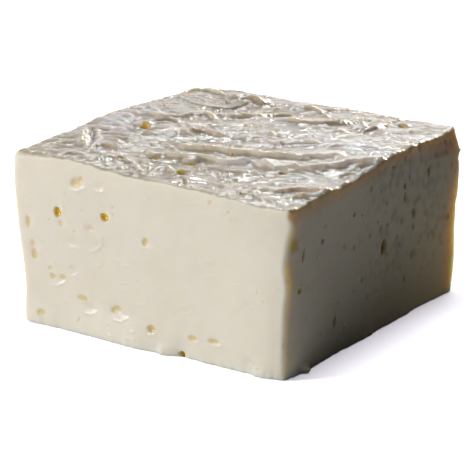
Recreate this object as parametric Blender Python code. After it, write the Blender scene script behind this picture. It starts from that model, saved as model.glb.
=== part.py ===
"""A block of fresh white cream cheese, cut square and lying on its flat base.

The block is one solid. Its top is a wet, uneven skin with low rolls and
creases that run across it, its edges are softly rounded, its sides draw in a
little towards the base, and small round or slit-shaped eyes pit its faces.
"""
import math

import bmesh
import bpy
from mathutils import Matrix, Vector, noise

MM = 0.001

# ---- driving dimensions, in millimetres ------------------------------------
LENGTH = 78.0          # along X, just under the top skin
WIDTH = 78.0           # along Y, just under the top skin
HEIGHT = 42.3          # base to the mean plane of the top
BASE_SCALE = 0.980     # the base is this much smaller than the top
TOP_EDGE_R = 1.3       # rounding between the top and the sides
UPRIGHT_R = 1.9        # rounding of the four upright edges
BASE_EDGE_R = 0.7      # rounding where the sides meet the base
ROLL_SCALE = 1.0       # height factor of the rolls on the top
GRID = 40              # divisions of the top, each way
SIDE_ROWS = 7          # rows of faces up each side, between its roundings
ARC_ROWS = 3           # rows of faces in the top rounding

# The rolls lie across the block at this angle from +X.
ROLL_ANGLE = math.radians(34.1)
COS_A, SIN_A = math.cos(ROLL_ANGLE), math.sin(ROLL_ANGLE)

# Each roll: start u, v; end u, v; bow; height; width in front; width behind.
# u runs along the rolls and v across them, from the middle of the top.
ROLLS = (
    (-15.0, 44.0, -4.0, 43.0, 3.5, 1.3, 1.6, 4.0),
    (-3.5, 40.0, 6.5, 34.0, 4.5, 1.3, 2.2, 3.5),
    (-15.2, 38.0, 1.5, 34.0, -3.0, 0.5, 1.4, 3.0),
    (-16.0, 20.5, -6.0, 19.0, 6.5, 1.0, 2.2, 3.0),
    (-5.0, 21.0, 14.5, 24.0, 2.5, 1.1, 1.6, 3.5),
    (13.5, 27.5, 21.5, 21.0, 7.0, 1.1, 2.2, 3.0),
    (10.5, 18.8, 30.5, 13.0, 1.5, 0.9, 1.6, 3.0),
    (-25.0, 26.0, -14.0, 24.0, -1.5, 0.6, 1.4, 3.0),
    (-23.5, 4.5, -10.5, 4.0, 6.0, 0.8, 2.6, 4.0),
    (-14.0, 7.5, -4.0, 5.0, 2.0, 0.5, 1.4, 3.0),
    (29.5, 8.0, 37.0, 14.5, 1.5, 0.5, 1.4, 3.0),
    (-15.5, -5.5, 26.0, -13.0, 1.2, 1.3, 2.0, 4.5),
    (-19.0, -11.4, 4.0, -17.0, 0.5, 1.1, 2.0, 4.0),
    (3.4, -18.1, 34.5, -17.0, -3.0, 1.2, 2.2, 4.5),
    (-12.5, -25.5, 0.0, -25.5, 2.0, 0.6, 1.6, 5.0),
    (5.5, -42.0, 21.5, -41.0, 2.5, 0.7, 1.6, 4.0),
    (-36.5, -1.0, -30.0, 2.0, 2.0, 0.7, 1.8, 3.0),
)

# Eyes: which face, the two positions along it, width, height, depth.
# "front" takes x, z; "side" takes y, z; "top" takes x, y.
EYES = (
    ("front", -26.7, 29.2, 2.1, 2.6, 1.0),
    ("front", -12.8, 30.6, 2.3, 2.0, 1.0),
    ("front", -20.7, 37.2, 2.0, 2.2, 0.7),
    ("front", -35.0, 18.6, 1.4, 4.4, 0.6),
    ("front", -21.0, 8.6, 2.8, 1.6, 0.6),
    ("front", -10.8, 7.9, 2.4, 1.6, 0.7),
    ("front", 0.2, 5.4, 2.2, 1.8, 0.8),
    ("front", 11.9, 5.4, 2.0, 1.5, 0.6),
    ("front", 18.1, 5.8, 2.8, 1.2, 0.6),
    ("side", 3.7, 21.8, 1.3, 3.8, 0.8),
    ("side", 24.8, 35.0, 1.1, 4.5, 0.7),
    ("side", 13.8, 32.2, 1.2, 2.6, 0.6),
    ("side", -33.5, 21.7, 1.3, 2.4, 0.6),
    ("side", -17.4, 9.0, 1.2, 2.6, 0.6),
    ("top", -26.6, -3.1, 1.9, 2.2, 0.8),
    ("top", -9.1, -24.0, 2.6, 2.2, 0.8),
    ("top", 1.6, -24.3, 2.6, 2.2, 0.8),
)


def hump(t, centre, width):
    """A smooth bell, 1 at its centre."""
    return math.exp(-((t - centre) / width) ** 2)


def ease(t):
    """0 below 0, 1 above 1, smooth between."""
    t = min(1.0, max(0.0, t))
    return t * t * (3.0 - 2.0 * t)


# ---- how the top's four edges rise and sag ---------------------------------
def rise_front(x):
    return 0.25 - 0.011 * (x + 39.0) + 0.95 * hump(x, -21.5, 8.0)


def rise_side(y):
    return -0.6 + 0.0141 * (y + 39.0) + 1.35 * hump(y, 11.5, 13.0)


def rise_left(y):
    return 0.0 + 1.35 * hump(y, -12.0, 24.0)


def rise_back(x):
    return -0.35 + 0.0135 * (x + 39.0) + 0.25 * hump(x, -25.0, 6.0)


def top_rise(x, y):
    """Blend of the four edges over the whole top."""
    s = min(1.0, max(0.0, x / LENGTH + 0.5))
    t = min(1.0, max(0.0, y / WIDTH + 0.5))
    edges = ((1 - t) * rise_front(x) + t * rise_back(x)
             + (1 - s) * rise_left(y) + s * rise_side(y))
    h = LENGTH / 2
    corner = ((1 - s) * (1 - t) * (rise_front(-h) + rise_left(-h)) / 2
              + s * (1 - t) * (rise_front(h) + rise_side(-h)) / 2
              + (1 - s) * t * (rise_back(-h) + rise_left(h)) / 2
              + s * t * (rise_back(h) + rise_side(h)) / 2)
    return edges - corner


def roll_height(x, y):
    """The rolls across the top: steep in front of each crest, soft behind."""
    u = x * COS_A + y * SIN_A
    v = -x * SIN_A + y * COS_A
    total = 0.0
    for u0, v0, u1, v1, bow, height, front, behind in ROLLS:
        s = (u - u0) / (u1 - u0)
        reach = 2.0 / abs(u1 - u0)
        ends = ease((s + reach) / (2 * reach)) * ease((1 + reach - s) / (2 * reach))
        if ends <= 0.0:
            continue
        sc = min(1.0, max(0.0, s))
        crest = v0 + (v1 - v0) * sc + 4 * bow * sc * (1 - sc)
        d = v - crest
        total += height * ends * math.exp(-(d / (front if d < 0 else behind)) ** 2)
    grain = noise.noise(Vector((u / 14.0, v / 5.0, 3.1)))
    return ROLL_SCALE * (0.85 * total + 0.45 * grain - 0.15)


# ---- how the sides swell and draw in ---------------------------------------
def plan_shift(x, y, z):
    """Sideways movement of a point on or near the sides."""
    low = 1.0 - z / HEIGHT
    # left upright edge: full above, pinched near the foot
    left = 1.1 * hump(z, 34.0, 10.0) - 0.55 * hump(z, 10.0, 6.0)
    near = math.exp(-((x + 39.0) ** 2 + (y + 39.0) ** 2) / 24.0 ** 2)
    dx = -0.95 * left * near
    dy = -0.30 * left * near
    # far right upright edge
    far = 0.55 + 0.15 * math.cos(math.tau * (z - 7.0) / 22.0) - 0.9 * hump(z, 42.3, 2.5)
    near = math.exp(-((x - 39.0) ** 2 + (y - 39.0) ** 2) / 22.0 ** 2)
    dx += 0.83 * far * near
    dy += 0.56 * far * near
    # front upright edge: worn back lower down, wavy higher up
    wave = 0.75 * hump(z, 38.0, 2.2) - 0.45 * hump(z, 28.5, 3.0) + 0.3 * hump(z, 22.5, 3.0)
    near = math.exp(-((x - 39.0) ** 2 + (y + 39.0) ** 2) / 4.5 ** 2)
    dx += (wave * 0.83 - 0.85 * low) * near
    dy += (wave * 0.56 + 0.75 * low) * near
    # long side: slightly hollow along its foot
    dx -= low * (0.35 + 0.7 * hump(y, 5.0, 18.0)) * ease((x - 30.0) / 9.0)
    # front side: foot a touch forward on the left, back on the right
    dy += low * (0.012 * x - 0.12) * ease((-y - 30.0) / 9.0)
    # a pressed lump of cheese at the foot of the long side
    dx += 0.9 * hump(y, -29.0, 1.6) * hump(z, 0.8, 1.6) * ease((x - 36.0) / 2.0)
    return dx, dy


def shape(x, y, z):
    """Where a point of the plain rounded block goes."""
    k = BASE_SCALE + (1.0 - BASE_SCALE) * min(1.0, z / HEIGHT)
    dx, dy = plan_shift(x, y, z)
    lift = top_rise(x, y) * z / HEIGHT
    lift += roll_height(x, y) * ease((z - HEIGHT + 3.0) / 3.0)
    return Vector((x * k + dx, y * k + dy, z + lift if z > 0.0 else 0.0))


# ---- mesh ------------------------------------------------------------------
def plan_point(i, side, inset):
    """Point i of one side of the rounded plan outline, drawn in by inset."""
    t = -1.0 + 2.0 * i / GRID
    hx, hy = LENGTH / 2, WIDTH / 2
    x, y = ((t * hx, -hy), (hx, t * hy), (-t * hx, hy), (-hx, -t * hy))[side]
    cx = min(hx - UPRIGHT_R, max(-hx + UPRIGHT_R, x))
    cy = min(hy - UPRIGHT_R, max(-hy + UPRIGHT_R, y))
    d = Vector((x - cx, y - cy))
    d = d.normalized() * (UPRIGHT_R - inset)
    return cx + d.x, cy + d.y


def outline(inset):
    return [plan_point(i, side, inset) for side in range(4) for i in range(GRID)]


def build_block():
    bm = bmesh.new()
    # the top: a grid inside the rounded outline
    ring0 = outline(TOP_EDGE_R)
    grid = [[None] * (GRID + 1) for _ in range(GRID + 1)]
    edge_points = {}
    for n, p in enumerate(ring0):
        side, i = divmod(n, GRID)
        ij = ((i, 0), (GRID, i), (GRID - i, GRID), (0, GRID - i))[side]
        edge_points[ij] = p
    for i in range(GRID + 1):
        for j in range(GRID + 1):
            if (i, j) in edge_points:
                x, y = edge_points[(i, j)]
            else:
                x = (-1.0 + 2.0 * i / GRID) * (LENGTH / 2 - TOP_EDGE_R)
                y = (-1.0 + 2.0 * j / GRID) * (WIDTH / 2 - TOP_EDGE_R)
            grid[i][j] = bm.verts.new(shape(x, y, HEIGHT))
    for i in range(GRID):
        for j in range(GRID):
            bm.faces.new((grid[i][j], grid[i + 1][j], grid[i + 1][j + 1], grid[i][j + 1]))
    ring = [grid[((n % GRID), GRID, GRID - n % GRID, 0)[n // GRID]]
            [(0, n % GRID, GRID, GRID - n % GRID)[n // GRID]] for n in range(4 * GRID)]

    # the rings below it: rounding, side, rounding
    levels = []
    for a in range(1, ARC_ROWS + 1):
        phi = math.pi / 2 * a / ARC_ROWS
        levels.append((TOP_EDGE_R * (1 - math.sin(phi)), HEIGHT - TOP_EDGE_R * (1 - math.cos(phi))))
    top, foot = HEIGHT - TOP_EDGE_R, BASE_EDGE_R
    for a in range(1, SIDE_ROWS + 1):
        levels.append((0.0, top + (foot - top) * a / SIDE_ROWS))
    levels.append((BASE_EDGE_R * 0.3, BASE_EDGE_R * 0.3))
    levels.append((BASE_EDGE_R, 0.0))
    for inset, z in levels:
        points = outline(inset)
        below = [bm.verts.new(shape(x, y, z)) for x, y in points]
        for n in range(len(ring)):
            m = (n + 1) % len(ring)
            bm.faces.new((ring[n], below[n], below[m], ring[m]))
        ring = below
    bm.faces.new(list(reversed(ring)))
    bmesh.ops.recalc_face_normals(bm, faces=bm.faces[:])
    # the top's quads fold along their shorter diagonal
    quads = [f for f in bm.faces if len(f.verts) == 4]
    bmesh.ops.triangulate(bm, faces=quads, quad_method="SHORT_EDGE")
    # stand it on its origin, centred
    low = Vector([min(v.co[a] for v in bm.verts) for a in range(3)])
    high = Vector([max(v.co[a] for v in bm.verts) for a in range(3)])
    centre = Vector(((low.x + high.x) / 2, (low.y + high.y) / 2, 0.0))
    bmesh.ops.translate(bm, vec=-centre, verts=bm.verts[:])
    bmesh.ops.scale(bm, vec=(MM, MM, MM), verts=bm.verts[:])
    return bm, centre


def add_eye_cutters(centre):
    """One closed mesh of separate ellipsoids, each half sunk in its face."""
    bm = bmesh.new()
    for n, (face, a, b, wide, tall, deep) in enumerate(EYES):
        if face == "front":
            at = shape(a, -WIDTH / 2, b)
            size = (wide / 2, deep, tall / 2)
        elif face == "side":
            at = shape(LENGTH / 2, a, b)
            size = (deep, wide / 2, tall / 2)
        else:
            at = shape(a, b, HEIGHT)
            size = (wide / 2, tall / 2, deep)
        turn = Matrix.Rotation(0.35 * n, 4, Vector((0.3, 0.5, 0.8)))
        place = (Matrix.Translation((at - centre) * MM)
                 @ Matrix.Diagonal((size[0] * MM, size[1] * MM, size[2] * MM, 1.0)) @ turn)
        bmesh.ops.create_icosphere(bm, subdivisions=2, radius=1.0, matrix=place)
    mesh = bpy.data.meshes.new("eye_cutters")
    bm.to_mesh(mesh)
    bm.free()
    cutter = bpy.data.objects.new("eye_cutters", mesh)
    bpy.context.scene.collection.objects.link(cutter)
    cutter.hide_render = True
    cutter.display_type = "WIRE"
    return cutter


def cheese_material():
    mat = bpy.data.materials.new("fresh_cheese")
    mat.use_nodes = True
    shader = mat.node_tree.nodes["Principled BSDF"]
    shader.inputs["Base Color"].default_value = (0.83, 0.77, 0.66, 1.0)
    shader.inputs["Roughness"].default_value = 0.42
    shader.inputs["Metallic"].default_value = 0.0
    shader.inputs["Subsurface Weight"].default_value = 0.3
    shader.inputs["Subsurface Radius"].default_value = (0.004, 0.0025, 0.0015)
    mat.diffuse_color = (0.83, 0.77, 0.66, 1.0)
    return mat


def main():
    for obj in list(bpy.data.objects):
        bpy.data.objects.remove(obj, do_unlink=True)
    bm, centre = build_block()
    mesh = bpy.data.meshes.new("cheese_block")
    bm.to_mesh(mesh)
    bm.free()
    mesh.materials.append(cheese_material())
    mesh.shade_smooth()
    mesh.set_sharp_from_angle(angle=math.radians(50))
    block = bpy.data.objects.new("cheese_block", mesh)
    bpy.context.scene.collection.objects.link(block)
    cutter = add_eye_cutters(centre)
    cut = block.modifiers.new("eyes", "BOOLEAN")
    cut.operation = "DIFFERENCE"
    cut.solver = "EXACT"
    cut.object = cutter


main()
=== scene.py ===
import math

import bpy
import numpy as np
from mathutils import Matrix, Vector


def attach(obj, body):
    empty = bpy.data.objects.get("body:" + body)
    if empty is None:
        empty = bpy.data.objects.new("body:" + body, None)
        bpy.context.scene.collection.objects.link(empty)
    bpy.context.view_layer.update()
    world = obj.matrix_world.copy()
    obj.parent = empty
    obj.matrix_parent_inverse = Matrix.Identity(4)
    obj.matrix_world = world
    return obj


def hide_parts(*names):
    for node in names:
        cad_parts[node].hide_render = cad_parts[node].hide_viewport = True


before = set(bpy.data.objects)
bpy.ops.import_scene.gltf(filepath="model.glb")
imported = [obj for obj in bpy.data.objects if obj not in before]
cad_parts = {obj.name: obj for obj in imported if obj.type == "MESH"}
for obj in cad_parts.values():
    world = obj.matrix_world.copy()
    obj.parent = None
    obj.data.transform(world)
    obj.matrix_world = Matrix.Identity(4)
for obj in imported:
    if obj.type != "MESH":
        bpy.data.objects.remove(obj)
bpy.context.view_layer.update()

MM = 0.001

# ---------------------------------------------------------------------------
# Sizes in millimetres, in the block's own frame: -Y is the side with round
# eyes, +X the side with slit-shaped ones, Z up, origin under the middle of
# the base. The rolls on top run along u, and v points across them.
# ---------------------------------------------------------------------------
LENGTH, WIDTH, HEIGHT = 78.0, 78.0, 42.3
BASE_SCALE = 0.980
UPRIGHT_R, BASE_EDGE_R = 1.9, 0.7
ROLL_ANGLE = math.radians(34.1)
COS_A, SIN_A = math.cos(ROLL_ANGLE), math.sin(ROLL_ANGLE)


def hump(t, centre, width):
    return np.exp(-(((t - centre) / width) ** 2))


def ease(t):
    t = np.clip(t, 0.0, 1.0)
    return t * t * (3.0 - 2.0 * t)


class Noise:
    """Gradient noise on numpy arrays, the same on every run for one seed."""

    def __init__(self, seed):
        rng = np.random.RandomState(seed)
        self.perm = np.tile(rng.permutation(256), 3)
        g = rng.normal(size=(256, 3))
        self.grad = g / np.linalg.norm(g, axis=1)[:, None]

    def __call__(self, x, y, z=0.0):
        x, y, z = np.broadcast_arrays(
            np.asarray(x, float), np.asarray(y, float), np.asarray(z, float))
        xi, yi, zi = (np.floor(a).astype(int) for a in (x, y, z))
        xf, yf, zf = x - xi, y - yi, z - zi
        xi, yi, zi = xi & 255, yi & 255, zi & 255
        u, v, w = (t * t * t * (t * (t * 6 - 15) + 10) for t in (xf, yf, zf))
        out = 0.0
        for dx in (0, 1):
            for dy in (0, 1):
                for dz in (0, 1):
                    h = self.perm[self.perm[self.perm[xi + dx] + yi + dy] + zi + dz]
                    g = self.grad[h]
                    dot = (g[..., 0] * (xf - dx) + g[..., 1] * (yf - dy)
                           + g[..., 2] * (zf - dz))
                    wx = u if dx else 1 - u
                    wy = v if dy else 1 - v
                    wz = w if dz else 1 - w
                    out = out + dot * wx * wy * wz
        return out * 1.6


n_a, n_b, n_c, n_d = Noise(11), Noise(23), Noise(37), Noise(58)
CREST_LIP = 0.13


# ---- the top skin ----------------------------------------------------------
def rise_front(x):
    return 0.25 - 0.011 * (x + 39.0) + 0.95 * hump(x, -21.5, 8.0) + 0.45 * ease((36.0 - x) / 16.0)


def rise_side(y):
    return -0.6 + 0.0141 * (y + 39.0) + 1.35 * hump(y, 11.5, 13.0)


def rise_left(y):
    return (1.35 * hump(y, -12.0, 24.0) - 0.55 * hump(y, -20.0, 9.0) + 0.75 * hump(y, 6.0, 15.0)
            - 0.7 * hump(y, 39.0, 9.0))


def rise_back(x):
    return -0.35 + 0.0135 * (x + 39.0) + 0.25 * hump(x, -25.0, 6.0) - 0.7 * hump(x, -39.0, 12.0) + 0.3 * hump(x, 12.0, 9.0)


def top_rise(x, y):
    s = np.clip(x / LENGTH + 0.5, 0.0, 1.0)
    t = np.clip(y / WIDTH + 0.5, 0.0, 1.0)
    edges = ((1 - t) * rise_front(x) + t * rise_back(x)
             + (1 - s) * rise_left(y) + s * rise_side(y))
    h = LENGTH / 2
    corner = ((1 - s) * (1 - t) * (rise_front(-h) + rise_left(-h)) / 2
              + s * (1 - t) * (rise_front(h) + rise_side(-h)) / 2
              + (1 - s) * t * (rise_back(-h) + rise_left(h)) / 2
              + s * t * (rise_back(h) + rise_side(h)) / 2)
    return edges - corner


def smooth_path(pts, n=60):
    """A smooth curve through a few points, as n points in order of u."""
    p = np.array(pts, float)
    if len(p) == 2:
        p = np.array([p[0], (p[0] + p[1]) / 2, p[1]])
    t = np.linspace(0, len(p) - 1, n)
    i = np.clip(t.astype(int), 0, len(p) - 2)
    f = t - i
    ext = np.vstack([2 * p[0] - p[1], p, 2 * p[-1] - p[-2]])
    p0, p1, p2, p3 = ext[i], ext[i + 1], ext[i + 2], ext[i + 3]
    f = f[:, None]
    return 0.5 * (2 * p1 + (p2 - p0) * f + (2 * p0 - 5 * p1 + 4 * p2 - p3) * f ** 2
                  + (3 * p1 - p0 - 3 * p2 + p3) * f ** 3)


def rolls_height(u, v, strokes):
    """Rolls and folds: steep in front of each crest, soft behind it."""
    total = np.zeros_like(u)
    wob = 0.45 * n_a(u / 4.0, v / 6.0, 5.5) + 0.25 * n_b(u / 1.7, v / 3.0, 8.5)
    for pts, height, front, behind in strokes:
        path = smooth_path(pts)
        order = np.argsort(path[:, 0])
        pu, pv = path[order, 0], path[order, 1]
        near = (u > pu[0] - 3) & (u < pu[-1] + 3)
        if not near.any():
            continue
        un, vn = u[near], v[near]
        crest = np.interp(un, pu, pv) + wob[near]
        end = min(2.5, (pu[-1] - pu[0]) / 3)
        fade = ease((un - pu[0] + end * 0.6) / (1.6 * end)) * ease((pu[-1] + end * 0.6 - un) / (1.6 * end))
        d = vn - crest
        prof = np.where(d < 0, np.exp(-np.abs(d / front) ** 2.2), np.exp(-np.abs(d / behind) ** 1.7))
        lip = CREST_LIP * min(1.0, height) * np.exp(-(((d - 0.15) / 0.45) ** 2))
        total[near] += fade * (height * prof + lip)
    return total


def line_relief(a, b, lines, bend=0.18):
    """Thin raised lines: rounded ridges along smooth curves through points."""
    total = np.zeros_like(a)
    wa = a + bend * n_b(a / 1.9, b / 1.9, 3.7)
    wb = b + bend * n_b(a / 1.9, b / 1.9, 9.2)
    for pts, height, width in lines:
        path = smooth_path(pts, 26)
        lo, hi = path.min(0) - 2.6 * width - bend, path.max(0) + 2.6 * width + bend
        near = (a > lo[0]) & (a < hi[0]) & (b > lo[1]) & (b < hi[1])
        if not near.any():
            continue
        q = np.stack([wa[near], wb[near]], 1)
        best = np.full(len(q), 1e9)
        along = np.zeros(len(q))
        for i in range(len(path) - 1):
            p0, d = path[i], path[i + 1] - path[i]
            t = np.clip(((q - p0) @ d) / max(d @ d, 1e-9), 0, 1)
            dist = np.linalg.norm(q - p0 - t[:, None] * d, axis=1)
            closer = dist < best
            best = np.where(closer, dist, best)
            along = np.where(closer, (i + t) / (len(path) - 1), along)
        taper = 0.45 + 0.55 * ease(along / 0.25) * ease((1 - along) / 0.25)
        total[near] += height * taper * np.exp(-((best / width) ** 2))
    return total


def spot_relief(a, b, spots):
    """Soft round or oval humps (or, with a negative height, hollows)."""
    total = np.zeros_like(a)
    for sa, sb, wide, tall, height, tilt in spots:
        reach = 2.2 * max(wide, tall)
        near = (np.abs(a - sa) < reach) & (np.abs(b - sb) < reach)
        if not near.any():
            continue
        da, db = a[near] - sa, b[near] - sb
        t = math.radians(tilt)
        p = (da * math.cos(t) + db * math.sin(t)) / wide
        q = (-da * math.sin(t) + db * math.cos(t)) / tall
        total[near] += height * np.exp(-(p * p + q * q) ** 1.25)
    return total


def top_height(x, y, strokes, eyes=(), fine=True):
    """Height of the top skin over its flat plane, without its eyes."""
    u = x * COS_A + y * SIN_A
    v = -x * SIN_A + y * COS_A
    # bend the pattern a little so that nothing runs dead straight
    wu = u + 1.5 * n_c(u / 18.0, v / 12.0, 1.0)
    wv = v + 1.2 * n_c(u / 16.0, v / 14.0, 7.0)
    h = rolls_height(u, v, strokes)
    h = h + 0.30 * n_a(wu / 12.0, wv / 4.6, 0.3)
    h = h + 0.20 * n_b(wu / 6.5, wv / 2.6, 2.3)
    if fine:
        # creases: thin raised lines, in patches
        patch = ease(0.5 + 1.2 * n_d(u / 11.0, v / 9.0, 4.0))
        line = 1.0 - np.abs(n_c(wu / 5.6, wv / 2.2, 9.1)) * 2.6
        h = h + 0.20 * patch * np.clip(line, 0, 1) ** 1.6
        line = 1.0 - np.abs(n_d(wu / 3.0 + wv / 3.5, wv / 1.7, 3.1)) * 2.6
        h = h + 0.13 * (1 - 0.5 * patch) * np.clip(line, 0, 1) ** 1.6
        # small crumbs and pimples
        speck = np.clip(n_b(wu / 1.15, wv / 1.5, 8.2) - 0.22, 0, 1)
        h = h + 0.55 * speck * ease(0.6 + 1.4 * n_c(u / 8.0, v / 7.0, 5.0))
        h = h + 0.055 * n_a(wu / 1.6, wv / 1.3, 6.6)
    return h - 0.42


# Rolls on the top: crest points (u, v), height, width in front, width behind.
ROLLS = (
    (((-14.9, 44.9), (-12.9, 47.1), (-9.5, 48.3), (-6.1, 43.9), (-4.0, 39.9)), 0.81, 1.11, 2.66),
    (((-3.5, 37.1), (-0.4, 36.5), (2.7, 36.0), (5.2, 33.0), (7.0, 32.9)), 1.15, 1.70, 3.20),
    (((-15.0, 36.0), (-11.8, 29.3), (-8.0, 26.4), (-2.9, 27.9), (1.4, 31.8)), 0.41, 0.56, 2.13),
    (((-15.2, 12.9), (-12.3, 16.2), (-9.1, 17.3), (-7.4, 15.5), (-5.9, 13.1)), 0.90, 1.80, 3.00),
    (((-4.9, 14.9), (-0.4, 16.1), (4.1, 17.8), (8.3, 21.3), (13.3, 21.8)), 0.81, 1.11, 2.66),
    (((2.1, 23.9), (7.1, 24.7), (11.0, 29.5)), 0.33, 0.55, 2.02),
    (((11.7, 27.3), (15.0, 29.1), (18.0, 27.0), (20.2, 25.3)), 0.85, 1.90, 2.60),
    (((20.3, 26.8), (23.5, 25.7), (27.8, 25.8)), 0.57, 0.78, 2.34),
    (((10.2, 13.4), (14.3, 10.6), (18.7, 9.3), (22.9, 10.4), (27.2, 12.5)), 1.06, 1.45, 2.97),
    (((13.2, 6.2), (16.6, 4.2), (20.3, 5.7), (23.8, 3.2), (26.7, 1.6)), 0.33, 0.55, 2.02),
    (((28.9, 2.8), (30.5, 5.6), (32.8, 7.4), (36.0, 11.5)), 0.59, 0.80, 2.36),
    (((30.8, 15.4), (32.3, 16.4), (34.0, 15.5)), 0.36, 0.55, 2.06),
    (((33.2, 14.7), (36.2, 15.0), (38.8, 16.7)), 0.26, 0.55, 1.94),
    (((20.9, 2.8), (23.3, 2.7), (25.7, 1.8)), 0.33, 0.55, 2.02),
    (((35.0, 3.5), (38.5, 4.5), (41.5, 5.0)), 0.26, 0.55, 1.94),
    (((41.0, 5.9), (43.0, 6.2), (44.7, 6.4)), 0.33, 0.55, 2.02),
    (((-24.6, 21.2), (-20.1, 12.9), (-15.7, 13.1), (-13.8, 14.9)), 0.65, 0.89, 2.45),
    (((-22.5, 10.5), (-17.6, 10.8), (-14.1, 8.8)), 0.49, 0.67, 2.23),
    (((-22.6, -0.4), (-19.8, 1.4), (-16.2, 3.0), (-12.5, 1.2), (-10.3, 0.1)), 0.55, 2.20, 3.50),
    (((-14.0, 1.0), (-10.1, 2.4), (-6.5, 0.8), (-2.9, -0.3)), 0.60, 0.82, 2.38),
    (((-1.6, -2.1), (2.4, -1.6), (6.3, -2.0), (9.6, -4.1)), 0.36, 0.55, 2.06),
    (((4.8, -4.4), (9.1, -7.1), (13.9, -6.3), (18.2, -7.2)), 0.36, 0.55, 2.06),
    (((-15.2, -9.0), (-10.0, -10.3), (-6.4, -11.4), (-1.6, -13.2), (1.9, -14.0), (4.7, -15.6), (8.9, -16.4), (13.6, -16.9), (18.3, -16.6), (24.2, -16.4)), 1.14, 1.56, 3.08),
    (((-18.7, -13.0), (-14.6, -15.8), (-9.9, -16.7), (-6.8, -18.0), (-5.1, -19.7), (-0.5, -20.5), (3.0, -19.8)), 0.98, 1.34, 2.87),
    (((3.3, -21.3), (7.7, -24.3), (12.3, -24.8), (15.8, -25.1), (20.4, -23.5), (24.0, -21.7), (26.4, -20.6), (29.9, -20.3), (33.2, -19.5)), 1.30, 1.78, 3.29),
    (((-1.6, -38.3), (1.8, -38.6), (6.3, -39.8)), 0.49, 0.67, 2.23),
    (((5.4, -41.3), (9.7, -40.2), (13.1, -38.8), (17.6, -39.9), (20.8, -38.9)), 0.89, 1.23, 2.76),
    (((10.7, -43.8), (14.1, -43.6), (18.0, -42.0)), 0.57, 0.78, 2.34),
    (((-10.7, -23.9), (-7.4, -23.8), (-3.9, -25.5), (0.7, -26.9), (4.6, -29.2)), 0.49, 0.67, 2.23),
    (((-6.4, -35.0), (-3.2, -38.0), (-0.5, -34.5)), 0.26, 0.55, 1.94),
    (((1.8, -42.4), (4.4, -45.2), (7.3, -47.1)), 0.36, 0.55, 2.06),
    (((-38.7, 8.8), (-34.6, 6.5), (-31.1, 4.5)), 0.26, 0.55, 1.94),
    (((-47.7, -7.6), (-44.1, -4.2), (-39.4, -3.3)), 0.36, 0.55, 2.06),
    (((-33.5, -14.8), (-29.1, -18.3), (-25.3, -20.0)), 0.36, 0.55, 2.06),
    (((-21.7, -28.7), (-19.9, -25.5), (-17.7, -23.6), (-16.2, -25.7), (-15.0, -28.7)), 0.40, 1.20, 2.20),
    (((-25.9, 8.4), (-23.6, 6.1), (-21.7, 6.8)), 1.00, 1.10, 2.60),
    (((-22.7, -13.6), (-20.8, -14.1), (-18.6, -14.1)), 0.85, 1.00, 2.20),
    (((-13.8, -19.0), (-12.2, -19.2), (-10.3, -19.4)), 0.85, 1.00, 2.00),
    (((-15.5, -27.4), (-13.9, -27.1), (-12.3, -27.0)), 0.55, 0.90, 1.80),
    (((38.7, 12.2), (40.4, 11.9), (42.1, 11.3)), 0.50, 0.90, 1.80),
    (((20.3, -28.5), (23.8, -27.4), (26.7, -23.4), (30.3, -21.8)), 0.26, 0.55, 1.94),
    (((-34.8, -7.9), (-31.9, -7.4), (-29.0, -9.3)), 0.57, 0.78, 2.34),
    (((-44.0, -16.4), (-40.1, -13.9), (-35.7, -17.7)), 0.42, 0.58, 2.15),
    (((23.7, -1.4), (27.6, -0.1), (31.4, -0.2)), 0.26, 0.55, 1.94),
    (((19.8, -9.8), (24.6, -8.0), (29.3, -9.1), (34.0, -10.8)), 0.26, 0.55, 1.94),
    (((34.3, -4.3), (37.8, -7.1), (41.0, -8.2)), 0.26, 0.55, 1.94),
)
# Short folds across the rolls: points, height, width.
CROSSES = (
    (((-38.1, -7.0), (-38.1, -3.1), (-38.2, 3.0), (-38.2, 7.2)), 0.75, 1.25),
)
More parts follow.
